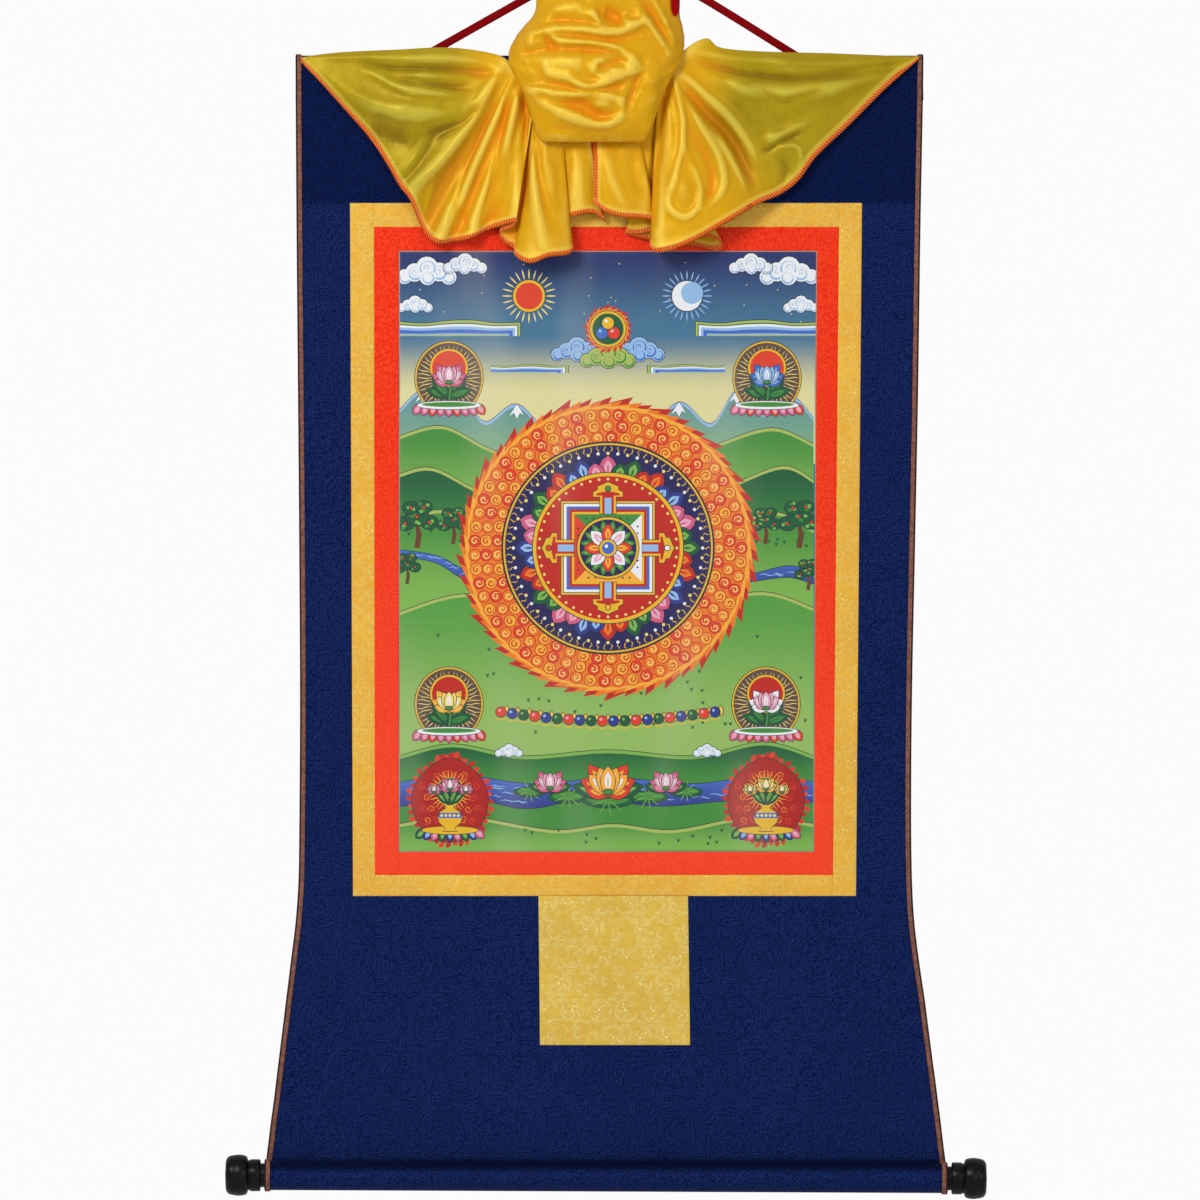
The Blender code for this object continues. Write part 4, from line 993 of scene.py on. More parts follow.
def fold_lift(folds, x, drop):
    """Forward push of all folds at a place on the cloth."""
    total = 0.0
    for fold in folds:
        left, right, top, bottom = fold.box
        if not (left < x < right and top < drop < bottom):
            continue
        best, share = math.inf, 0.0
        for (x1, d1, s1), (x2, d2, s2) in zip(fold.line, fold.line[1:]):
            run, fall = x2 - x1, d2 - d1
            t = ((x - x1) * run + (drop - d1) * fall) / (run * run + fall * fall)
            t = min(1.0, max(0.0, t))
            away = (x - x1 - run * t) ** 2 + (drop - d1 - fall * t) ** 2
            if away < best:
                best, share = away, s1 + (s2 - s1) * t
        total += fold.height * share * math.exp(-best / fold.width ** 2)
    return total


def on_gather(top):
    return GATHER_LEFT <= top <= GATHER_RIGHT


def wing_share(top):
    """1 on the open wings, fading to 0 at the gathers."""
    return min(1.0, max(0.0, (GATHER_LEFT - top) / WING_FADE, (top - GATHER_RIGHT) / WING_FADE))


def sheer_share(top):
    """1 where one layer covers the ground, 0 where the cloth crowds into the gathers."""
    return min(1.0, max(0.0, (SHEER_LEFT - top) / SHEER_FADE, (top - SHEER_RIGHT) / SHEER_FADE))


def layer_at(x, drop, top):
    """1 at the gathers, and low where one layer of cloth covers the ground."""
    away = math.dist((abs(x - VEIL_MIDDLE), drop), GATHER_SPOT)
    return 1.0 - SHEER_SHARE * sheer_share(top) * ramp(away, *SHEER_START)


def rib_point(hem, v):
    """A point of the hanging cloth on one hem row: v runs 0 at the upper line to 1 at the hem."""
    top = sample(TOP_LINE, hem.top)
    open_out = v ** PLEAT_GROWTH
    x = top.x + (hem.x - top.x) * v
    drop = top.drop + (hem.drop - top.drop) * v
    depth = top.depth + (hem.depth - top.depth) * open_out
    length = math.hypot(hem.x - top.x, hem.drop - top.drop)
    depth += WING_BELLY * wing_share(hem.top) * min(1.0, length / FULL_RIB) * math.sin(math.pi * v)
    edge_fade = min(1.0, v / FOLD_MARGIN, (1 - v) / FOLD_MARGIN + FOLD_AT_HEM)
    depth += fold_lift(WING_FOLDS, x, drop) * edge_fade
    free = min(1.0, length / FULL_RIB) * math.sin(math.pi * min(1.0, v * 1.02)) ** 0.5
    gathers = (1 - wing_share(hem.top)) * math.exp(-((v - 0.16) / 0.2) ** 2)
    depth += free * (1.3 * gathers * waves(hem.top * 4.1, 3.0) + 0.8 * waves(hem.top * 2.2, v * 1.8)
                     + 0.35 * waves(x / 9, drop / 14, 4.0))
    return x, drop, max(depth, VEIL_CLEARANCE)


def rib_column(hem):
    """Places down one rib as (x, drop, depth, v); along a wing it starts on the seam behind."""
    column = []
    for row in range(WING_ROWS):
        v = row / (WING_ROWS - 1)
        column.append((*rib_point(hem, v), v))
    if not on_gather(hem.top):
        top = column[0]
        seam_x = min(max(sample(TOP_LINE, hem.top).x, SEWN_REACH[0]), SEWN_REACH[1])
        roll = []
        for step in range(ROLL_STEPS):
            t = step / ROLL_STEPS
            middle_drop, middle_depth = top[1] - ROLL_RISE, SEWN_DEPTH + ROLL_FORWARD
            drop = (1 - t) ** 2 * SEWN_DROP + 2 * t * (1 - t) * middle_drop + t * t * top[1]
            depth = (1 - t) ** 2 * SEWN_DEPTH + 2 * t * (1 - t) * middle_depth + t * t * top[2]
            roll.append((seam_x + (top[0] - seam_x) * t, drop, depth, 0.0))
        column = roll + column
    return column


def bundle_point(across, level):
    """A point of the bundle: across runs 0 to 1 left to right, level counts rows of the table."""
    row = sample(BUNDLE, level)
    turn = math.pi * (across * (1 + 2 * row.wrap) - row.wrap)
    middle_x = (row.left_x + row.right_x) / 2
    half = (row.right_x - row.left_x) / 2
    side_drop = row.left_drop + (row.right_drop - row.left_drop) * across
    x = middle_x - half * math.cos(turn)
    inward = min(1.0, (1 - abs(math.cos(turn))) / FLAT_SHOULDER)
    squared = inward * inward * (3 - 2 * inward)
    hang_share = row.flat * squared + (1 - row.flat) * max(0.0, math.sin(turn))
    drop = side_drop + (row.middle_drop - side_drop) * hang_share
    depth = row.side_depth + (row.middle_depth - row.side_depth) * math.sin(turn)
    if turn < 0 or turn > math.pi:
        depth = row.side_depth + (row.middle_depth - TURNED_BACK) * math.sin(turn)
    ends = min(1.0, level / FOLD_LEVELS, max(0.0, (BUNDLE_CREST - level) / FOLD_LEVELS))
    front = ends * math.sqrt(max(0.0, math.sin(turn)))
    if front > 0:
        depth += fold_lift(BUNDLE_FOLDS, x, drop) * front
        depth += front * (1.1 * waves(x / 14, drop / 9, 2.0) + 0.5 * waves(x / 5, drop / 5, 8.0))
    return x, drop, depth


def hem_columns(rows):
    """Hem rows with more columns wherever neighbours lie far apart."""
    columns = []
    for index in range(len(rows) - 1):
        one, two = rows[index], rows[index + 1]
        count = max(1, round(math.dist(one[:3], two[:3]) / COLUMN_STEP))
        columns += [sample(rows, index + i / count) for i in range(count)]
    columns.append(rows[-1])
    return columns


def join_columns(faces, left, right):
    """Faces between two columns of point numbers; one may start with more points."""
    while len(left) > len(right):
        faces.append((left[0], left[1], right[0]))
        left = left[1:]
    while len(right) > len(left):
        faces.append((left[0], right[1], right[0]))
        right = right[1:]
    for i in range(len(left) - 1):
        faces.append((left[i], left[i + 1], right[i + 1], right[i]))


def fold_valleys(mesh):
    """How far each point lies behind the cloth around it, from -1 to 1."""
    count = len(mesh.vertices)
    places = np.empty(count * 3)
    mesh.vertices.foreach_get("co", places)
    depths = -places.reshape(count, 3)[:, 1]
    ends = np.empty(len(mesh.edges) * 2, np.int32)
    mesh.edges.foreach_get("vertices", ends)
    ends = ends.reshape(-1, 2)
    near = np.bincount(ends.ravel(), minlength=count)
    soft = depths.copy()
    for _ in range(VALLEY_ROUNDS):
        total = np.bincount(ends[:, 0], soft[ends[:, 1]], count)
        total += np.bincount(ends[:, 1], soft[ends[:, 0]], count)
        soft = total / near
    return np.clip((soft - depths) / (VALLEY_DEPTH * MM), -1.0, 1.0)


def build_veil(material):
    """One sheet: two wings and a pleated fan below, and the bundle above, all from one cloth."""
    points, faces, layers, from_edge = [], [], [], []
    gathered = {}
    borders = []

    def put(x, drop, depth, layer, edge):
        points.append(world(x, drop, depth))
        layers.append(layer)
        from_edge.append(edge)
        return len(points) - 1

    for rows in (HEM_LEFT, HEM_RIGHT):
        columns = hem_columns(rows)
        slit = columns[-1] if rows is HEM_LEFT else columns[0]
        slit_line = rib_column(slit)
        previous = None
        hem_line = []
        for hem in columns:
            places = rib_column(hem)
            length = math.dist(places[-1][:3], places[-WING_ROWS][:3])
            numbers = []
            for index, (x, drop, depth, v) in enumerate(places):
                layer = layer_at(x, drop, hem.top)
                edge = (1 - v) * length
                if abs(hem.top - GATHER_MIDDLE) < SLIT_REACH and len(places) == len(slit_line):
                    edge = min(edge, math.dist((x, drop), slit_line[index][:2]))
                if index == 0 and on_gather(hem.top):
                    if hem.top not in gathered:
                        gathered[hem.top] = put(x, drop, depth, layer, FAR_FROM_HEM)
                    numbers.append(gathered[hem.top])
                else:
                    numbers.append(put(x, drop, depth, layer, edge))
            if previous:
                join_columns(faces, previous, numbers)
            previous = numbers
            hem_line.append((places[-1][:3], places[-2][:3]))
        borders.append(hem_line)
    slit_line, second = (rib_column(hem) for hem in hem_columns(HEM_RIGHT)[:2])
    slit = [(place[:3], inner[:3]) for place, inner in zip(slit_line, second)]
    borders.append(slit[len(slit) // 3:])
    previous = None
    levels = (len(BUNDLE) - 1) * BUNDLE_STEPS
    for top in sorted(gathered):
        across = (top - GATHER_LEFT) / (GATHER_RIGHT - GATHER_LEFT)
        numbers = [gathered[top]]
        for step in range(levels + 1):
            numbers.append(put(*bundle_point(across, step / BUNDLE_STEPS), 1.0, FAR_FROM_HEM))
        if previous:
            join_columns(faces, numbers, previous)
        previous = numbers
    item = add_mesh("satin_veil", points, faces, material, layers=layers, from_edge=from_edge)
    bm = bmesh.new()
    bm.from_mesh(item.data)
    bmesh.ops.recalc_face_normals(bm, faces=bm.faces)
    bm.to_mesh(item.data)
    bm.free()
    valley = item.data.attributes.new("valley", "FLOAT", "POINT")
    valley.data.foreach_set("value", fold_valleys(item.data))
    thicken(item, SATIN)
    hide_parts("veil")
    return item, borders


# ---- overlock stitches along the veil's hem ---------------------------------------------------
STITCH_STEP = 3.0
STITCH_RADIUS = 0.55
STITCH_SLANT = 0.45
# Points of a loop: reach from the cut edge, and shares of the lift off the cloth and of the slant.
STITCH_LOOP = ((4.3, 1, 0), (1.8, 1.25, 0.5), (-0.35, 0, 1), (1.6, -1, 1.2))


def tube(points, faces, line, radius, sides=5):
    """Adds a thin closed tube along a line of places."""
    start = len(points)
    for index, place in enumerate(line):
        ahead, behind = line[min(index + 1, len(line) - 1)], line[max(index - 1, 0)]
        along = (ahead - behind).normalized()
        one = along.orthogonal().normalized()
        two = along.cross(one)
        for i in range(sides):
            angle = math.tau * i / sides
            points.append(place + (one * math.cos(angle) + two * math.sin(angle)) * radius * MM)
    faces += ring_faces(len(line), sides, start)


def build_stitches(borders, material):
    """Loops of thread over the hem, from a needle line round the cut edge and back behind it."""
    points, faces = [], []
    forward = Vector((0, -1, 0))
    for border in borders:
        edge = [world(*place) for place, _ in border]
        inner = [world(*place) for _, place in border]
        travelled, wanted = 0.0, 0.0
        for index in range(len(edge) - 1):
            span = (edge[index + 1] - edge[index]).length / MM
            while wanted <= travelled + span:
                t = (wanted - travelled) / span if span else 0.0
                at = edge[index].lerp(edge[index + 1], t)
                into = (inner[index].lerp(inner[index + 1], t) - at).normalized()
                along = (edge[index + 1] - edge[index]).normalized()
                out = into.cross(along)
                out = out if out.dot(forward) > 0 else -out
                slant = along * STITCH_STEP * STITCH_SLANT * MM
                lift = (SATIN / 2 + STITCH_RADIUS * 0.6) * MM
                line = [at + into * reach * MM + out * lift * rise + slant * aside
                        for reach, rise, aside in STITCH_LOOP]
                tube(points, faces, line, STITCH_RADIUS)
                tube(points, faces, [line[0] - slant, line[0] + slant * 1.1], STITCH_RADIUS * 0.9)
                wanted += STITCH_STEP
            travelled += span
    item = add_mesh("veil_overlock", points, faces, material)
    return item


# ---- red tie ----------------------------------------------------------------------------------
Tie = namedtuple("Tie", "across level half_width")
TIE_ROUTE = [Tie(*row) for row in (
    (0.8, 13.9, 1.2), (0.81, 14.5, 4.4), (0.815, 15.3, 5.4), (0.81, 16.2, 5.4), (0.8, 17.2, 5.2),
    (0.77, 18.4, 4.8), (0.72, 19.6, 4.2),
)]
TIE_LIFT = 2.6
TIE_THICK = 0.5
TIE_PROBE = 0.01
TIE_STEPS = 6
TIE_COLUMNS = 8
BUNDLE_GIRTH = 135.0


def tie_point(across, level):
    """A point just off the bundle's surface."""
    x, drop, depth = bundle_point(across, level)
    ahead = bundle_point(across + TIE_PROBE, level)
    behind = bundle_point(across - TIE_PROBE, level)
    run, rise = ahead[0] - behind[0], ahead[2] - behind[2]
    length = math.hypot(run, rise)
    return world(x - rise / length * TIE_LIFT, drop, depth + run / length * TIE_LIFT)


def build_tie(material):
    rows, along, wide = [], [], []
    travelled = 0.0
    for i in range(TIE_STEPS * (len(TIE_ROUTE) - 1) + 1):
        tie = sample(TIE_ROUTE, i / TIE_STEPS)
        reach = tie.half_width / BUNDLE_GIRTH
        row = []
        for j in range(TIE_COLUMNS + 1):
            side = 2 * j / TIE_COLUMNS - 1
            row.append(tie_point(tie.across + side * reach, tie.level))
            wide.append(side * tie.half_width)
        if rows:
            travelled += (row[TIE_COLUMNS // 2] - rows[-1][TIE_COLUMNS // 2]).length / MM
        along += [travelled] * (TIE_COLUMNS + 1)
        rows.append(row)
    item = add_grid("tie_ribbon", rows, TIE_THICK, material, along=along, wide=wide)
    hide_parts("red_tie")
    widest = 2 * max(tie.half_width for tie in TIE_ROUTE)
    widest * MM


# ---- printed picture --------------------------------------------------------------------------
# A landscape of sky, hills and water round a mandala, with lotus medallions, jewels and vases.
INK = tint(30, 36, 52)
DEEP_NAVY, NAVY = tint(34, 30, 88), tint(44, 58, 140)
BLUE, PALE_BLUE = tint(66, 108, 196), tint(150, 190, 232)
RED, SCARLET = tint(196, 34, 24), tint(226, 62, 34)
ORANGE, AMBER = tint(240, 124, 30), tint(250, 176, 56)
GOLD, PALE_GOLD, WHITE = tint(236, 186, 34), tint(248, 222, 120), tint(240, 242, 244)
DARK_LEAF, LEAF = tint(20, 92, 54), tint(66, 142, 58)
GRASS, MOSS = tint(128, 182, 78), tint(172, 190, 96)
ROSE, PINK = tint(214, 92, 130), tint(236, 170, 190)
HAIR = 0.7                 # width of a drawn outline
COVERED = 0.99             # share of an oval's radius within which a shape is hidden


def signed_area(outline):
    pairs = zip(outline, outline[1:] + outline[:1])
    return sum(one[0] * two[1] - two[0] * one[1] for one, two in pairs) / 2


class Drawing:
    """Shapes laid one over another on the picture; later ones cover earlier ones.

    A color may be a colour or a function that gives one for a place (x, drop).
    """

    def __init__(self):
        self.shapes = []

    def shape(self, outline, color):
        if signed_area(outline) < 0:
            outline = outline[::-1]
        self.shapes.append(([Vector(point[:2]) for point in outline], color))

    def clear(self, x, drop, width, height=None):
        """Takes away the shapes that lie wholly under an oval drawn next."""
        height = height or width

        def outside(point):
            return math.hypot((point.x - x) / width, (point.y - drop) / height) > COVERED
        self.shapes = [shape for shape in self.shapes if any(map(outside, shape[0]))]

    def stamp(self, other, x, drop, scale):
        """Lays another drawing, made round its own origin, over this one."""
        for outline, color in other.shapes:
            self.shape([(x + u * scale, drop + v * scale) for u, v in outline], color)

    def inked(self, outline, color):
        """Shape with an outline drawn round it."""
        sign = 1 if signed_area(outline) > 0 else -1
        grown = []
        for behind, (x, drop), ahead in zip(outline[-1:] + outline, outline, outline[1:] + outline):
            run, fall = ahead[0] - behind[0], ahead[1] - behind[1]
            length = math.hypot(run, fall) or 1.0
            grown.append((x + sign * fall / length * HAIR, drop - sign * run / length * HAIR))
        self.shape(grown, INK)
        self.shape(outline, color)

    def disc(self, x, drop, radius, color, squash=1.0, sides=None, ink=None):
        sides = sides or round(7 + radius * 0.75)
        ring = [(math.cos(math.tau * i / sides), math.sin(math.tau * i / sides)) for i in range(sides)]
        for extra, filling in ((HAIR, ink), (0, color)):
            if filling:
                self.shape([(x + u * (radius + extra), drop + v * (radius * squash + extra))
                            for u, v in ring], filling)

    def stroke(self, path, width, color, start=0.15, end=0.15):
        """Brush stroke along a path; start and end are the shares of its width at the ends."""
        left, right = [], []
        for i, (x, drop) in enumerate(path):
            (ax, ay), (bx, by) = path[max(i - 1, 0)], path[min(i + 1, len(path) - 1)]
            length = math.hypot(bx - ax, by - ay) or 1.0
            t = i / (len(path) - 1)
            half = width / 2 * min(1.0, start + 4 * t * (1 - start), end + 4 * (1 - t) * (1 - end))
            u, v = (by - ay) / length * half, (bx - ax) / length * half
            left.append((x + u, drop - v))
            right.append((x - u, drop + v))
        self.shape(left + right[::-1], color)


def fade(one, two, start, end):
    """Colour that goes from one at a drop to another at a later drop."""
    def color(x, drop):
        share = ramp(drop, start, end)
        return tuple(a + (b - a) * share for a, b in zip(one, two))
    return color


def smooth_line(places, steps=6):
    """Points on a smooth line through a few places."""
    rows = [Place(*place) for place in places]
    return [tuple(sample(rows, i / steps)) for i in range(steps * (len(rows) - 1) + 1)]


def polar(x, drop, radius, angle):
    return x + radius * math.cos(angle), drop + radius * math.sin(angle)


def around(x, drop, radius, count, shift=0.0):
    """Number, angle and place of each of some evenly spaced spots on a circle."""
    for k in range(count):
        angle = math.tau * (k + shift) / count
        yield k, angle, polar(x, drop, radius, angle)


def petal(x, drop, angle, length, width, steps=5):
    """Outline of a pointed petal from its foot; the angle is that of its tip."""
    u, v = math.cos(angle), math.sin(angle)
    sides = [[], []]
    for i in range(steps + 1):
        t = i / steps
        half = width / 2 * math.sin(math.pi * min(1.0, 0.12 + 0.88 * t)) ** 0.7
        for side, sign in zip(sides, (1, -1)):
            side.append((x + u * length * t - v * half * sign, drop + v * length * t + u * half * sign))
    return sides[0] + sides[1][-2::-1]


MIDRIB_LENGTH = 12.0


def draw_petal(d, x, drop, angle, length, width, body, inner):
    d.inked(petal(x, drop, angle, length, width), body)
    foot = polar(x, drop, length * 0.16, angle)
    d.shape(petal(*foot, angle, length * 0.64, width * 0.5, 3), inner)
    if length > MIDRIB_LENGTH:
        d.shape(petal(*foot, angle, length * 0.5, width * 0.12, 2), body)


def draw_lotus(d, x, drop, size, body, inner):
    """Open lotus seen from the side."""
    for row in ((-1.15, 1.15, 0.92), (-0.62, 0.62, 1.05), (-1.5, 1.5, 0.7)):
        for lean in row[:2]:
            draw_petal(d, x, drop, lean - math.pi / 2, size * row[2], size * 0.5, body, inner)
    for lean in (-0.85, 0.85, -0.34, 0.34, 0.0):
        draw_petal(d, x, drop, lean - math.pi / 2, size * 0.8, size * 0.46, inner, WHITE)
    d.disc(x, drop, size * 0.16, LEAF, 0.5, 12, INK)


CURL_POINTS = 7


def draw_curl(d, x, drop, size, angle, color, width, turns=1.35, sign=1):
    """Spiral brush stroke."""
    path = []
    for i in range(CURL_POINTS + 1):
        t = i / CURL_POINTS
        path.append(polar(x, drop, size * (1 - 0.86 * t), angle + sign * math.tau * turns * t))
    d.stroke(path, width, color, 0.2, 0.6)


CLOUD_LOBES = ((-1.5, 0.18, 0.5), (1.45, 0.2, 0.52), (-0.82, -0.1, 0.62), (0.8, -0.14, 0.64),
               (0.0, -0.42, 0.74), (0.04, 0.2, 0.55))


def draw_cloud(d, x, drop, size, body, shade, flip=1):
    """Heap of round lobes with a drawn edge, a shade and a curl in each."""
    lobes = [(x + flip * u * size, drop + v * size, r * size) for u, v, r in CLOUD_LOBES]
    for u, v, reach in lobes:
        d.disc(u, v, reach + HAIR, INK)
    for u, v, reach in lobes:
        d.disc(u, v, reach, body)
        d.disc(u + flip * 0.05 * size, v + 0.08 * size, reach * 0.74, shade)
        d.disc(u + flip * 0.03 * size, v + 0.02 * size, reach * 0.6, body)
        if reach > 0.6 * size:
            draw_curl(d, u, v, reach * 0.42, 0.6, shade, 0.9, 1.2, flip)


def draw_streak(d, left, right, drop, height, point_right):
    """Long flat cloud of even bands that runs to a point."""
    for share, color in ((0.0, INK), (0.05, MOSS), (0.2, DARK_LEAF), (0.27, WHITE), (0.42, PALE_BLUE),
                         (0.6, BLUE), (0.84, PALE_BLUE), (0.92, MOSS)):
        top = drop + height * share
        bottom = drop + height
        bend = height * (1 - share) * 0.5
        tip = 14 * share
        ends = (left, right - tip) if point_right else (left + tip, right)
        line = smooth_line([(ends[0] + (ends[1] - ends[0]) * t, top + bend * math.sin(t * 9 + drop) * 0.25)
                            for t in (0.0, 0.2, 0.4, 0.6, 0.8, 1.0)], 4)
        d.shape([(ends[0], bottom)] + line + [(ends[1], bottom)], color)


def draw_hill(d, crest, bottom, rim, body):
    """Hill with a drawn crest, a light rim and a body that fades down."""
    line = smooth_line(crest)
    for lift, color in ((-HAIR, INK), (0.0, rim), (3.2, None)):
        top = [(x, drop + lift) for x, drop in line]
        d.shape(top + [(line[-1][0], bottom), (line[0][0], bottom)], color or body)


def draw_grass(d, rng, left, right, top, bottom, count):
    for _ in range(count):
        x, drop = rng.uniform(left, right), rng.uniform(top, bottom)
        for lean in (-0.5, 0.0, 0.5):
            blade = [(x, drop), (x + lean * 2.2, drop - 2.2), (x + lean * 4.2, drop - 4.0)]
            d.stroke(blade, 0.9, DARK_LEAF, 1.0, 0.1)


def draw_water(d, rng, outline, count):
    """Stretch of water with light ripples."""
    d.inked(outline, fade(BLUE, NAVY, min(p[1] for p in outline), max(p[1] for p in outline)))
    left, right = min(p[0] for p in outline), max(p[0] for p in outline)
    for _ in range(count):
        i = rng.randrange(len(outline) // 2 - 1)
        one, two = outline[i], outline[-1 - i]
        t, x = rng.uniform(0.2, 0.8), one[0]
        drop = one[1] + (two[1] - one[1]) * t
        reach = rng.uniform(4, 9)
        if left < x - reach and x + reach < right:
            d.stroke([(x - reach, drop), (x - reach / 3, drop - 0.9), (x + reach / 3, drop + 0.7),
                      (x + reach, drop)], 0.9, PALE_BLUE)


TREE_HEAPS = ((-0.34, 0.72, 0.26), (0.36, 0.76, 0.26), (0.0, 0.92, 0.34), (-0.18, 1.18, 0.24),
              (0.2, 1.2, 0.24))


def draw_tree(d, rng, x, drop, size):
    """Small tree with heaps of round leaves and a few fruits."""
    d.stroke([(x, drop), (x + size * 0.06, drop - size * 0.4), (x - size * 0.02, drop - size * 0.8)],
             size * 0.16, tint(104, 62, 34), 1.0, 0.5)
    for u, v, r in TREE_HEAPS:
        d.disc(x + u * size, drop - v * size, r * size, DARK_LEAF, 0.8, 18, INK)
        for _ in range(5):
            angle, away = rng.uniform(0, math.tau), rng.uniform(0, 0.7) * r * size
            spot = polar(x + u * size, drop - v * size, away, angle)
            d.disc(*spot, size * 0.065, rng.choice((LEAF, GRASS, GRASS)), 0.8, 6)
        d.disc(x + u * size, drop - v * size, size * 0.045, SCARLET, 1.0, 8, INK)


def draw_rays(d, x, drop, inner, outer, count, color, width, sway=0.0):
    """Fine wavy rays."""
    for k, angle, _ in around(x, drop, inner, count):
        path = [polar(x, drop, inner + (outer - inner) * t,
                      angle + sway * math.sin(t * math.tau + k * 2.1)) for t in (0.0, 0.33, 0.67, 1.0)]
        d.stroke(path, width, color, 0.3, 0.3)


def draw_flames(d, x, drop, radius, count, length):
    """Ring of curved tongues round a disc, red at the back and yellow in front."""
    for ring, (grow, color) in enumerate(((1.0, RED), (0.72, ORANGE), (0.42, AMBER))):
        for k, angle, _ in around(x, drop, radius, count, 0.5 * ring):
            reach = length * grow * (1.0 + 0.16 * math.sin(k * 2.4))
            half = math.pi / count * 1.1
            d.shape([polar(x, drop, radius + out, angle + half * aside) for out, aside in
                     ((-1, -1), (reach * 0.45, -0.75), (reach, 1.3), (reach * 0.5, 1), (-1, 1))], color)


FLAME_ROWS = 3


def draw_flame_band(d, x, drop, inner, outer):
    """Orange band filled with rows of curling flames."""
    draw_flames(d, x, drop, outer, 46, 11.0)
    d.disc(x, drop, outer, ORANGE, sides=96)
    for row in range(FLAME_ROWS):
        radius = outer - (outer - inner) * (row + 0.5) / FLAME_ROWS
        count = round(math.tau * radius / 12.5)
        for k, angle, spot in around(x, drop, radius, count, 0.5 * (row % 2)):
            sign = 1 if (k + row) % 2 else -1
            d.disc(*spot, 5.7, RED, 1.0, 12)
            d.disc(*spot, 4.9, (SCARLET, AMBER, ORANGE)[(k + row) % 3], 1.0, 12)
            draw_curl(d, *spot, 4.1, angle + 2.8, (PALE_GOLD, RED)[(k + row) % 3 == 1], 1.2, 1.2, sign)
    d.disc(x, drop, inner + 1.6, INK, sides=90)


GATE = ((30, -7), (45, -7), (45, -13), (49, -13), (51, -9), (54, -9), (56, -4), (58, 0), (56, 4),
        (54, 9), (51, 9), (49, 13), (45, 13), (45, 7), (30, 7))
GATE_FIELD = ((30, -5), (46, -5), (46, -10), (48, -10), (50, 0), (48, 10), (46, 10), (46, 5), (30, 5))
GATE_PATH = ((30, -3), (44, -3), (44, 3), (30, 3))
QUARTER = ((0, 0), (29.6, -29.6), (29.6, 29.6))
SQUARES = ((41, GOLD), (39.4, INK), (38.8, WHITE), (36.4, BLUE), (34, RED), (31.6, GOLD))


def draw_gated_square(d, x, drop):
    """Nested squares with a gate on each side and a quarter of the field behind each gate."""
    for half, color in SQUARES:
        square = [(x + u * half, drop + v * half) for u, v in ((-1, -1), (1, -1), (1, 1), (-1, 1))]
        draw = d.inked if half == SQUARES[0][0] else d.shape
        draw(square, color)
    for quarter, color in enumerate((WHITE, AMBER, SCARLET, LEAF)):
        u, v = math.cos(math.pi / 2 * quarter), math.sin(math.pi / 2 * quarter)

        def turned(places):
            return [(x + u * out - v * aside, drop + v * out + u * aside) for out, aside in places]
        d.inked(turned(GATE), GOLD)
        d.shape(turned(GATE_FIELD), RED)
        d.shape(turned(GATE_PATH), PALE_BLUE)
        d.disc(*turned([(52, 0)])[0], 2.2, color, sides=10, ink=INK)
        d.shape(turned(QUARTER), color)
        for out in (12, 18, 24):
            for spot in turned((out + 2, aside) for aside in range(-out + 5, out - 2, 6)):
                d.disc(*spot, 0.9, INK, sides=6)


def draw_mandala(d, x, drop):
    """Flame ring, gold-lined navy field, petal rings, gated square and inner lotus."""
    d.clear(x, drop, MANDALA_RADIUS)
    draw_flame_band(d, x, drop, 92, MANDALA_RADIUS)
    d.clear(x, drop, 92)
    d.disc(x, drop, 92, GOLD, sides=90)
    d.disc(x, drop, 90.4, DEEP_NAVY, sides=90)
    draw_rays(d, x, drop, 84, 89.8, 90, GOLD, 0.8, 0.012)
    for k, _, spot in around(x, drop, 83, 60):
        d.disc(*spot, 1.5, (WHITE, PALE_GOLD)[k % 2], sides=7)
    petals = ((DARK_LEAF, GRASS), (RED, ORANGE), (NAVY, PALE_BLUE), (ROSE, PINK))
    for ring, (foot, length) in enumerate(((62, 19), (60, 15))):
        for k, angle, spot in around(x, drop, foot, 20, 0.5 * ring):
            draw_petal(d, *spot, angle, length, 15.0, *petals[(k + ring) % 4])
    d.clear(x, drop, 66)
    d.disc(x, drop, 66, GOLD, sides=72, ink=INK)
    d.disc(x, drop, 63, RED, sides=72)
    for _, _, spot in around(x, drop, 60.4, 48):
        d.disc(*spot, 1.3, PALE_GOLD, sides=6)
    draw_gated_square(d, x, drop)
    d.clear(x, drop, 27)
    d.disc(x, drop, 27, GOLD, ink=INK, sides=44)
    d.disc(x, drop, 25, DEEP_NAVY, sides=44)
    for _, angle, spot in around(x, drop, 8, 16, 0.5):
        draw_petal(d, *spot, angle, 16.5, 6.6, LEAF, MOSS)
    for k, angle, spot in around(x, drop, 5, 8):
        draw_petal(d, *spot, angle, 16, 10.5, *((SCARLET, AMBER), (WHITE, PINK))[k % 2])
    d.disc(x, drop, 7.6, GOLD, ink=INK, sides=20)
    d.disc(x, drop, 5.4, BLUE, sides=18)
    d.disc(x - 1.4, drop - 1.6, 1.6, WHITE, sides=10)


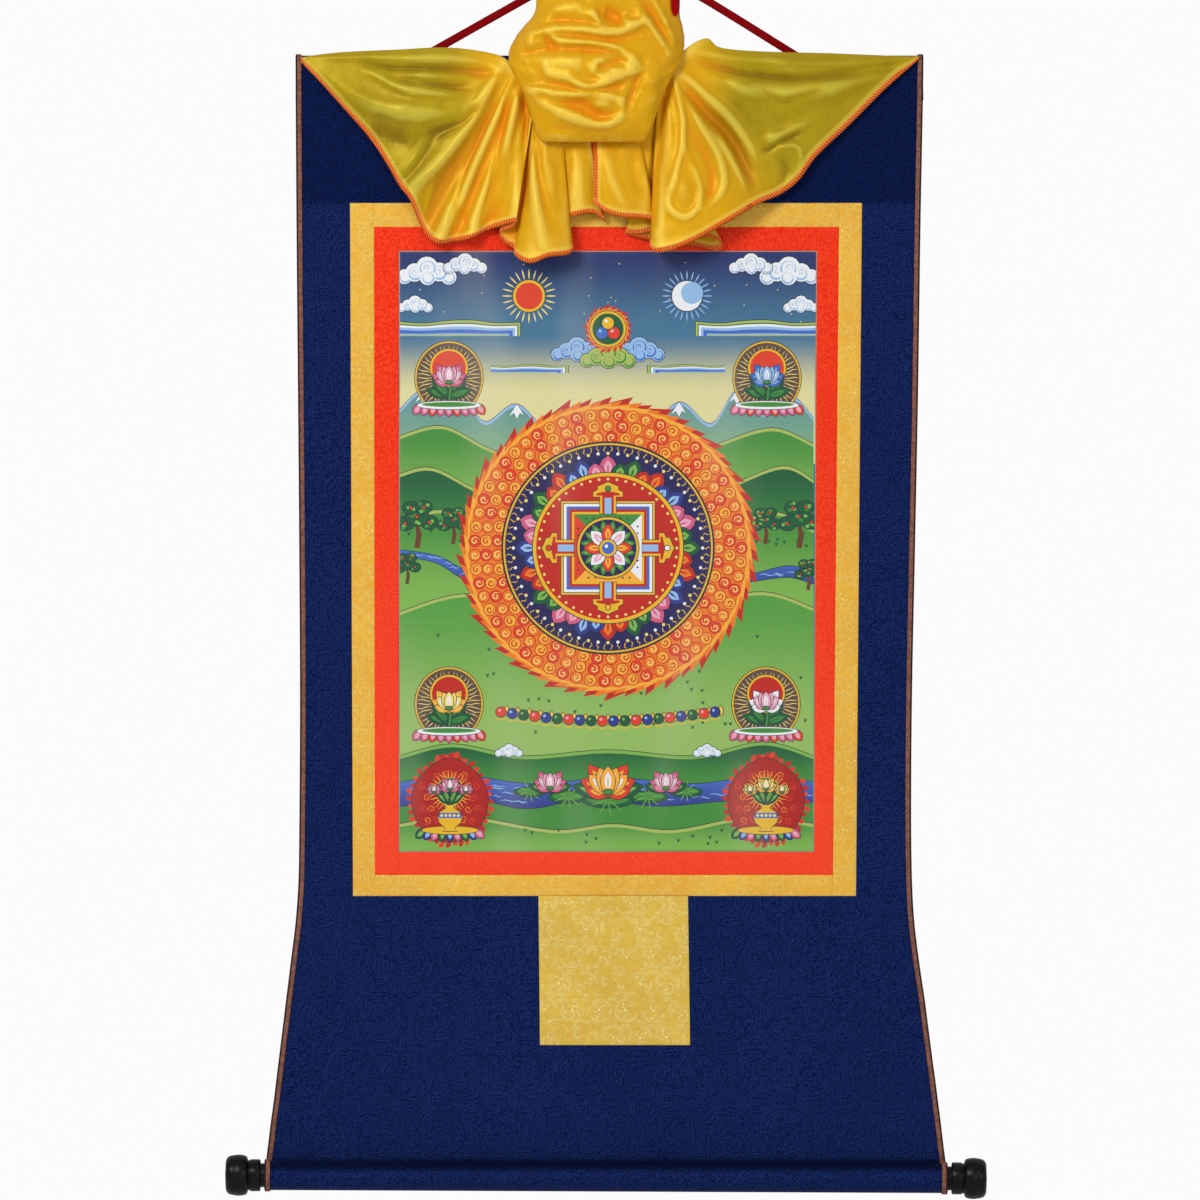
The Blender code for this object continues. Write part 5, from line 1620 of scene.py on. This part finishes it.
def draw_medallion(d, x, drop, radius, halo, body, inner):
    """Gold-edged disc of fine rays, a halo and a lotus on its leaves."""
    d.clear(x, drop, radius, radius * 1.08)
    d.disc(x, drop, radius, GOLD, 1.08, 52, INK)
    d.disc(x, drop, radius - 1.5, tint(96, 74, 66), 1.08, 52)
    draw_rays(d, x, drop, radius * 0.5, radius - 1.8, 44, PALE_GOLD, 0.8, 0.03)
    d.clear(x, drop - radius * 0.3, radius * 0.56)
    d.disc(x, drop - radius * 0.3, radius * 0.56, GOLD, 1.0, 34, INK)
    d.disc(x, drop - radius * 0.3, radius * 0.5, halo, 1.0, 34)
    for lean in (-1.25, -0.75, 0.75, 1.25):
        draw_petal(d, x, drop + radius * 0.55, lean - math.pi / 2, radius * 0.72, radius * 0.3,
                   DARK_LEAF, LEAF)
    d.stroke([(x, drop + radius * 0.7), (x + 1.5, drop + radius * 0.3), (x, drop)], 2.0, LEAF, 1.0, 1.0)
    draw_lotus(d, x, drop + radius * 0.12, radius * 0.6, body, inner)
    for k in range(-4, 5):
        draw_petal(d, x + k * radius * 0.21, drop + radius * 0.8, math.pi / 2 + k * -0.16, radius * 0.34,
                   radius * 0.26, (ROSE, SCARLET, ROSE)[k % 3], PINK)
    d.disc(x, drop + radius * 0.8, radius * 0.94, WHITE, 0.13, 30, INK)
    d.disc(x, drop + radius * 0.78, radius * 0.8, LEAF, 0.09, 30)


def draw_pond_lotuses(d, x, drop):
    """Large lotus between two smaller ones, on round floating leaves."""
    for u, v, reach in ((-78, 12, 16), (78, 12, 16), (-40, 17, 20), (40, 17, 20), (0, 20, 26)):
        d.disc(x + u, drop + v, reach, DARK_LEAF, 0.3, 30, INK)
        d.disc(x + u, drop + v - 0.8, reach * 0.8, LEAF, 0.26, 26)
        draw_rays(d, x + u, drop + v - 0.8, 2.0, reach * 0.7, 9, GRASS, 0.8)
    for u, v, size, *colors in ((-58, 8, 19, ROSE, PINK), (58, 8, 19, ROSE, PINK),
                                (0, 12, 32, SCARLET, AMBER)):
        for lean in (-1.35, 1.35):
            draw_petal(d, x + u, drop + v + 2, lean - math.pi / 2, size * 1.15, size * 0.5, DARK_LEAF, GRASS)
        draw_lotus(d, x + u, drop + v, size, *colors)


def draw_jewels(d, left, right, drop):
    """Garland of round jewels with gold tips between them."""
    count = round((right - left) / 11.5)
    for k in range(count + 1):
        x = left + (right - left) * k / count
        sag = 9.0 * math.sin(math.pi * k / count)
        color, light = ((SCARLET, PINK), (NAVY, PALE_BLUE), (DARK_LEAF, GRASS))[k % 3]
        draw_petal(d, x + 5.7, drop + sag + 3, -math.pi / 2, 9.5, 5.0, GOLD, PALE_GOLD)
        d.disc(x, drop + sag, 5.0, color, 1.0, 16, INK)
        d.disc(x - 1.5, drop + sag - 1.7, 1.5, light, 1.0, 8)
        cord = [(x - 5.6, drop + sag + 6.4), (x, drop + sag + 7.6), (x + 5.6, drop + sag + 6.4)]
        d.stroke(cord, 1.5, GOLD)


VASE_SIDE = ((0.1, -0.44), (0.2, -0.42), (0.1, -0.34), (0.1, -0.3), (0.26, -0.2), (0.32, -0.06),
             (0.28, 0.08), (0.14, 0.2), (0.12, 0.24), (0.2, 0.3))


def draw_shrine(d, x, drop, width, height, flower):
    """Pointed red ground full of curling flames, with a vase of flowers on a lotus foot."""
    outline = []
    for i in range(41):
        angle = math.tau * i / 40
        narrow = 1 - 0.34 * max(0.0, math.cos(angle)) ** 3
        outline.append((x + width * math.sin(angle) * narrow, drop - height * math.cos(angle)))
    d.clear(x, drop, width * 0.9, height * 0.9)
    for i in range(40):
        ax, ay = outline[i]
        angle = math.atan2((ay - drop) / height, (ax - x) / width)
        draw = petal(ax, ay, angle + 0.5, 6.5 + 2 * math.sin(i * 1.9), 5.0, 4)
        d.shape(draw, (RED, SCARLET)[i % 2])
    d.inked(outline[:-1], tint(176, 26, 20))
    for row in range(7):
        for k in range(-4, 5):
            spot = (x + (k + 0.5 * (row % 2)) * width * 0.24, drop + (row - 3.2) * height * 0.27)
            inside = math.hypot((spot[0] - x) / width, (spot[1] - drop) / height)
            if 0.45 < inside < 0.8:
                draw_curl(d, *spot, 4.6, row + k, (ORANGE, SCARLET)[(row + k) % 2], 1.1, 1.3, (-1) ** k)
    draw_rays(d, x, drop - height * 0.2, width * 0.2, width * 0.56, 30, AMBER, 0.9, 0.04)
    d.disc(x, drop - height * 0.2, width * 0.36, DARK_LEAF, 1.0, 30, GOLD)
    base = drop + height * 0.72
    for k in range(-4, 5):
        draw_petal(d, x + k * width * 0.17, base, math.pi / 2 - k * 0.2, width * 0.3, width * 0.22,
                   (NAVY, ROSE, DARK_LEAF)[k % 3], (PALE_BLUE, PINK, GRASS)[k % 3])
    d.disc(x, base, width * 0.74, GOLD, 0.14, 30, INK)
    right = [(x + u * width, base + (v - 0.28) * width) for u, v in VASE_SIDE]
    left = [(2 * x - px, py) for px, py in reversed(right)]
    d.inked(left + right, GOLD)
    d.shape([(x - 0.28 * width, base - 0.46 * width), (x + 0.28 * width, base - 0.46 * width),
             (x + 0.31 * width, base - 0.32 * width), (x - 0.31 * width, base - 0.32 * width)], BLUE)
    for k in range(-2, 3):
        d.disc(x + k * width * 0.11, base - 0.39 * width, width * 0.04, PALE_GOLD, 1.0, 8)
    for lean in (-0.9, 0.9, -0.4, 0.4):
        draw_petal(d, x, base - 0.7 * width, lean - math.pi / 2, width * 0.5, width * 0.16,
                   DARK_LEAF, GRASS)
    for u, v, size in ((-0.42, 1.0, 0.24), (0.42, 1.0, 0.24), (0.0, 1.08, 0.34)):
        draw_lotus(d, x + u * width, base - v * width, width * size, *flower)


MANDALA_SPOT = (-5, 604)
MANDALA_RADIUS = 122
MANDALA_SCALE = 1.14
PEAKS = ((-190, 446), (-150, 452), (-96, 460), (66, 458), (124, 446), (176, 450))
PALE_EDGE = 0.9
DRAWING_SEED = 11


def draw_sky(d, rng):
    """Night blue over pale gold, with stars, sun, moon, clouds and three jewels."""
    p = PICTURE
    d.shape([(p.left_top, p.top), (p.right_top, p.top), (p.right_bottom, p.bottom),
             (p.left_bottom, p.bottom)], fade(tint(30, 44, 104), tint(66, 116, 150), p.top, 390))
    left, right = p.left_top + 0.1, p.right_top - 0.2
    d.shape([(left, 389), (right, 389), (p.right_top - 0.6, 520), (left, 520)],
            fade(tint(66, 116, 150), tint(226, 218, 156), 389, 452))
    for _ in range(26):
        d.disc(rng.uniform(-205, 195), rng.uniform(316, 380), 0.7, PALE_GOLD, sides=5)
    draw_rays(d, -84, 352, 17, 27, 24, PALE_GOLD, 1.4)
    d.disc(-84, 352, 16, GOLD, sides=34, ink=INK)
    d.disc(-84, 352, 13.4, SCARLET, sides=32)
    draw_rays(d, 74, 352, 16, 25, 24, PALE_BLUE, 1.2)
    d.disc(74, 352, 15, WHITE, sides=34, ink=INK)
    d.disc(79, 349, 11, PALE_BLUE, sides=30)
    for x, drop, size, flip in ((-186, 330, 15, 1), (-148, 322, 11, -1), (176, 330, 15, -1),
                                (138, 322, 11, 1), (-198, 362, 9, 1), (188, 362, 9, -1)):
        draw_cloud(d, x, drop, size, WHITE, PALE_BLUE, flip)
    draw_streak(d, p.left_top + 0.3, -92, 377, 15, True)
    draw_streak(d, 82, p.right_top - 0.5, 377, 15, False)
    draw_streak(d, -122, -44, 421, 8, True)
    draw_streak(d, 34, 112, 421, 8, False)
    for x, drop, size, body, shade in ((-36, 408, 13, PALE_BLUE, BLUE), (26, 408, 13, PALE_BLUE, BLUE),
                                       (-5, 414, 14, MOSS, LEAF)):
        draw_cloud(d, x, drop, size, body, shade)
    draw_flames(d, -5, 385, 17, 22, 8)
    d.disc(-5, 385, 18, GOLD, sides=36, ink=INK)
    d.disc(-5, 385, 15.6, DARK_LEAF, sides=34)
    for x, drop, color, light in ((-11, 389, BLUE, PALE_BLUE), (1, 389, SCARLET, PINK),
                                  (-5, 379, GOLD, WHITE)):
        d.disc(x, drop, 6.0, color, sides=18, ink=INK)
        d.disc(x - 1.8, drop - 2, 1.7, light, sides=8)


def draw_river(d, rng, bank, width, bend, count):
    near = smooth_line(bank)
    far = [(x, drop + width + 3 * math.sin(x / bend)) for x, drop in reversed(near)]
    draw_water(d, rng, near + far, count)


def draw_land(d, rng):
    """Peaks, hills, river, meadow, trees and pond, from the far ones to the near bank."""
    left, right, bottom = PICTURE.left_top + 0.4, PICTURE.right_bottom - 0.4, PICTURE.bottom - 0.4
    draw_hill(d, [(left, 466), (-190, 446), (-172, 470), (-150, 452), (-128, 478), (-96, 460),
                  (-60, 490), (-20, 470), (30, 488), (66, 458), (98, 480), (124, 446), (150, 470),
                  (176, 450), (right, 474)], 560, PALE_BLUE,
              fade(tint(96, 150, 150), tint(150, 190, 120), 450, 540))
    for x, drop in PEAKS:
        d.inked([(x + u, drop + v) for u, v in ((0, 0), (7, 11), (3, 9), (0, 15), (-3, 9), (-8, 12))],
                WHITE)
    draw_hill(d, [(left, 492), (-170, 482), (-120, 506), (-60, 520), (0, 500), (60, 520), (110, 498),
                  (160, 484), (right, 500)], 640, MOSS, fade(LEAF, GRASS, 486, 560))
    draw_hill(d, [(left, 530), (-180, 524), (-130, 548), (-70, 560), (0, 556), (70, 560), (120, 540),
                  (170, 522), (right, 536)], 680, MOSS, fade(DARK_LEAF, LEAF, 524, 600))
    draw_hill(d, [(left, 580), (-170, 566), (-110, 590), (0, 600), (100, 586), (160, 568),
                  (right, 586)], bottom, MOSS, fade(LEAF, GRASS, 570, 660))
    draw_river(d, rng, [(left, 606), (-176, 612), (-140, 628), (-90, 624), (-40, 640), (20, 634),
                        (80, 644), (140, 630), (176, 622), (right, 628)], 9, 25, 40)
    draw_hill(d, [(left, 668), (-150, 650), (-80, 662), (0, 672), (80, 660), (150, 648),
                  (right, 664)], bottom, MOSS, fade(tint(84, 158, 62), tint(150, 190, 96), 650, 790))
    draw_grass(d, rng, -205, 195, 690, 790, 46)
    draw_grass(d, rng, -205, -120, 580, 604, 14)
    draw_grass(d, rng, 110, 195, 580, 604, 14)
    for x, drop, size in ((-196, 604, 34), (-160, 600, 26), (186, 604, 34), (152, 600, 26),
                          (-206, 640, 22), (195, 646, 22)):
        draw_tree(d, rng, x, drop, size)
    draw_hill(d, [(left, 812), (-160, 800), (-90, 812), (-5, 806), (80, 812), (150, 798),
                  (right, 812)], bottom, GRASS, fade(DARK_LEAF, LEAF, 800, 840))
    draw_river(d, rng, [(left, 838), (-150, 832), (-80, 840), (0, 834), (80, 840), (150, 832),
                        (right, 838)], 22, 20, 50)
    draw_hill(d, [(left, 880), (-150, 872), (-60, 886), (0, 880), (60, 886), (140, 872),
                  (right, 880)], bottom, MOSS, fade(LEAF, GRASS, 872, 906))
    draw_grass(d, rng, -205, 195, 886, 902, 22)


def draw_edge(d):
    """Narrow pale edge beside the seams."""
    p = PICTURE
    corners = [(p.left_top, p.top), (p.right_top, p.top), (p.right_bottom, p.bottom),
               (p.left_bottom, p.bottom)]
    inwards = ((0, PALE_EDGE), (-PALE_EDGE, 0), (0, -PALE_EDGE), (PALE_EDGE, 0))
    for one, two, step in zip(corners, corners[1:] + corners[:1], map(Vector, inwards)):
        d.shape([one, two, tuple(Vector(two) + step), tuple(Vector(one) + step)], tint(150, 150, 146))


def picture_design():
    d = Drawing()
    rng = random.Random(DRAWING_SEED)
    draw_sky(d, rng)
    draw_land(d, rng)
    draw_cloud(d, -104, 808, 7, WHITE, PALE_BLUE)
    draw_cloud(d, 94, 808, 7, WHITE, PALE_BLUE, -1)
    mandala = Drawing()
    draw_mandala(mandala, 0.0, 0.0)
    d.clear(*MANDALA_SPOT, MANDALA_RADIUS * MANDALA_SCALE)
    d.stamp(mandala, *MANDALA_SPOT, MANDALA_SCALE)
    draw_pond_lotuses(d, -5, 836)
    draw_jewels(d, -112, 102, 768)
    for x, drop, halo, *colors in ((-164, 434, SCARLET, ROSE, PINK), (154, 434, SCARLET, BLUE, PALE_BLUE),
                                   (-164, 760, RED, AMBER, PALE_GOLD), (153, 760, RED, WHITE, PINK)):
        draw_medallion(d, x, drop, 34, halo, *colors)
    draw_shrine(d, -163, 856, 38, 42, (ROSE, PINK))
    draw_shrine(d, 153, 856, 38, 42, (AMBER, PALE_GOLD))
    draw_edge(d)
    return d.shapes


PICTURE_GRID = 7.0
PICTURE_EDGE = (0.7, 2.0, 4.0)
PRINT_CLOSE = 0.03         # printed outlines nearer than this to each other are joined
PRINT_BACK = tint(206, 202, 190)


def picture_shares():
    """Shares down and across the picture: even steps and close rows along its edges."""
    p = PICTURE
    return (spaced(p.bottom - p.top, PICTURE_GRID, PICTURE_EDGE),
            spaced(p.right_top - p.left_top, PICTURE_GRID, PICTURE_EDGE))


def picture_spot(down, share):
    drop = PICTURE.top + (PICTURE.bottom - PICTURE.top) * down
    left, right = frame_side(PICTURE, drop, "left"), frame_side(PICTURE, drop, "right")
    return Vector((left + (right - left) * share, drop))


def picture_points():
    drops, sides = picture_shares()
    return [picture_spot(down, share) for down in drops[1:-1] for share in sides[1:-1]]


def picture_place(place):
    x, drop = place
    nearest = min(drop - PICTURE.top, PICTURE.bottom - drop, x - frame_side(PICTURE, drop, "left"),
                  frame_side(PICTURE, drop, "right") - x)
    back = -SEAM_DIP * math.exp(-(max(0.0, nearest) / SEAM_WIDTH) ** 2)
    return world(x, drop, ripple(x, drop) + back)


def build_picture(material):
    """One printed sheet whose faces follow the outlines of the design."""
    outlines, tints = zip(*picture_design())
    drawn = [point for outline in outlines for point in outline]
    numbers = iter(range(len(drawn)))
    shapes = [[next(numbers) for _ in outline] for outline in outlines]
    flat, _, faces, _, _, sources = delaunay_2d_cdt(drawn + picture_points(), [], shapes, 1,
                                                    PRINT_CLOSE, True)
    half = Vector((0, -SILK / 2 * MM, 0))
    points = [picture_place(place) + half for place in flat]
    front = len(points)
    inside = [(tuple(face)[::-1], source) for face, source in zip(faces, sources) if 0 in source]
    faces, sources, flat = [face for face, _ in inside], [source for _, source in inside], list(flat)
    drops, sides = picture_shares()
    for down in drops:
        for share in sides:
            flat.append(picture_spot(down, share))
            points.append(picture_place(flat[-1]) - half)
    wide = len(sides)
    faces += [tuple(front + number for number in quad) for quad in grid_faces(len(drops), wide)]
    rim = list(range(wide)) + [wide * (j + 1) - 1 for j in range(1, len(drops))]
    rim += [wide * (len(drops) - 1) + i for i in reversed(range(wide - 1))]
    rim += [wide * j for j in reversed(range(1, len(drops) - 1))]
    start = len(points)
    for number in rim:
        flat.append(flat[front + number])
        points.append(points[front + number] + 2 * half)
    faces += [(start + i, start + (i + 1) % len(rim), front + rim[(i + 1) % len(rim)], front + rim[i])
              for i in range(len(rim))]
    sources += [[len(tints)]] * (len(faces) - len(sources))
    tints += (PRINT_BACK,)
    item = add_mesh("printed_picture", points, faces, material)
    leans = []
    for number, place in enumerate(flat):
        x, drop = place
        across = picture_place((x + 0.5, drop)) - picture_place((x - 0.5, drop))
        down = picture_place((x, drop + 0.5)) - picture_place((x, drop - 0.5))
        lean = across.cross(down).normalized()
        leans.extend(lean if front <= number < start else -lean)
    item.data.attributes.new("lean", "FLOAT_VECTOR", "POINT").data.foreach_set("vector", leans)
    colors = item.data.color_attributes.new("tint", "FLOAT_COLOR", "CORNER")
    corner = 0
    for face, source in zip(faces, sources):
        color = tints[max(source)]
        for number in face:
            seen = color(*flat[number]) if callable(color) else color
            colors.data[corner].color = (*seen, 1.0)
            corner += 1
    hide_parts("picture_panel")
    hang(item, PICTURE.right_top - PICTURE.left_top, PICTURE.bottom - PICTURE.top)


# ---- camera, light, floor ---------------------------------------------------------------------
CAMERA_DISTANCE = 10.0
VIEW_WIDTH = 1.2           # metres across the picture at the hanging cloth
SENSOR = 36.0
VIEW_CENTRE = (-13.0, 656.0)
LIGHT_AIM = Vector((0, 0, -0.6))
SOFT_WHITE = (0.97, 0.98, 1.0)
SOFT_STRENGTH = 0.45
BACKDROP = (0.98, 0.965, 0.975)
FLOOR_SIZE = 2.4
FLOOR_PLACE = (0, -0.6, -1.45)


def build_camera():
    data = bpy.data.cameras.new("front")
    data.sensor_width = SENSOR
    data.lens = SENSOR * CAMERA_DISTANCE / VIEW_WIDTH
    camera = bpy.data.objects.new("front", data)
    bpy.context.scene.collection.objects.link(camera)
    camera.location = world(*VIEW_CENTRE, 0.0) + Vector((0, -CAMERA_DISTANCE, 0))
    camera.rotation_euler = (math.pi / 2, 0, 0)
    bpy.context.scene.camera = camera


def soft_light(name, place, size, power):
    data = bpy.data.lights.new(name, "AREA")
    data.shape = "RECTANGLE"
    data.size = data.size_y = size
    data.energy = power
    light = bpy.data.objects.new(name, data)
    bpy.context.scene.collection.objects.link(light)
    light.location = place
    light.rotation_euler = (LIGHT_AIM - Vector(place)).to_track_quat("-Z", "Y").to_euler()


def build_studio():
    scene = bpy.context.scene
    scene.view_settings.view_transform = "Standard"
    world_data = bpy.data.worlds.new("studio")
    scene.world = world_data
    world_data.use_nodes = True
    nodes, links = world_data.node_tree.nodes, world_data.node_tree.links
    soft, white = nodes["Background"], nodes.new("ShaderNodeBackground")
    for node, color, strength in ((soft, SOFT_WHITE, SOFT_STRENGTH), (white, BACKDROP, 1.0)):
        node.inputs["Color"].default_value = (*color, 1.0)
        node.inputs["Strength"].default_value = strength
    path = nodes.new("ShaderNodeLightPath")
    pick = nodes.new("ShaderNodeMixShader")
    links.new(path.outputs["Is Camera Ray"], pick.inputs[0])
    links.new(soft.outputs[0], pick.inputs[1])
    links.new(white.outputs[0], pick.inputs[2])
    links.new(pick.outputs[0], nodes["World Output"].inputs["Surface"])
    soft_light("key", (-1.6, -3.0, 1.2), 1.2, 76)
    soft_light("fill", (2.2, -3.2, -0.2), 2.0, 22)
    bpy.ops.mesh.primitive_grid_add(x_subdivisions=8, y_subdivisions=8, size=FLOOR_SIZE,
                                    location=FLOOR_PLACE)
    floor = bpy.context.object
    floor.name = "floor"
    s = Finish("pale_floor", 0.7)
    floor.data.materials.append(s.finish(s.mix(s.spots(300.0), tint(236, 236, 238), tint(226, 226, 229))))


# ---- the whole object -------------------------------------------------------------------------
def assign(node, material):
    item = bpy.data.objects[node]
    for slot in item.material_slots:
        slot.material = material


def build():
    build_camera()
    build_ribbon(ribbed_ribbon("dark_red_ribbon", tint(96, 0, 10), tint(176, 8, 16)))
    build_studio()

    navy = navy_brocade()
    gold = gold_brocade("gold_brocade", 23.0, tint(243, 190, 68), tint(255, 226, 124), tint(220, 152, 40))
    door = gold_brocade("door_brocade", 27.0, tint(236, 196, 72), tint(255, 240, 160), tint(204, 158, 38))
    build_frame("red_frame", RED_OUTER, PICTURE, red_silk())
    build_frame("gold_frame", GOLD_OUTER, RED_OUTER, gold)
    build_sides(navy)
    for name, path in (("ground_top", top_path()), ("ground_bottom", bottom_path())):
        path_panel(name, path, navy, path_length(path))
    flat_panel("door_patch", lambda d: frame_side(DOOR, d, "left"),
               lambda d: frame_side(DOOR, d, "right"), GOLD_OUTER.bottom, DOOR.bottom, door,
               ("left", "right", "top", "bottom"), lift=DOOR_LIFT, thickness=DOOR_THICK)
    build_picture(printed_satin())

    tape, lacquer, wood = copper_tape(), black_lacquer(), stave_wood()
    for side in ("left", "right"):
        build_tape(side, tape)
        build_knob(side, lacquer)
    assign("top_stave", wood)
    assign("bottom_roller", lacquer)

    veil, borders = build_veil(yellow_satin())
    stitches = build_stitches(borders, overlock_thread())
    area = sum(face.area for face in veil.data.polygons)
    width = VEIL_WIDTH * MM
    area / width
    build_tie(ribbed_ribbon("bright_red_ribbon", tint(150, 0, 6), tint(206, 10, 22)))


build()
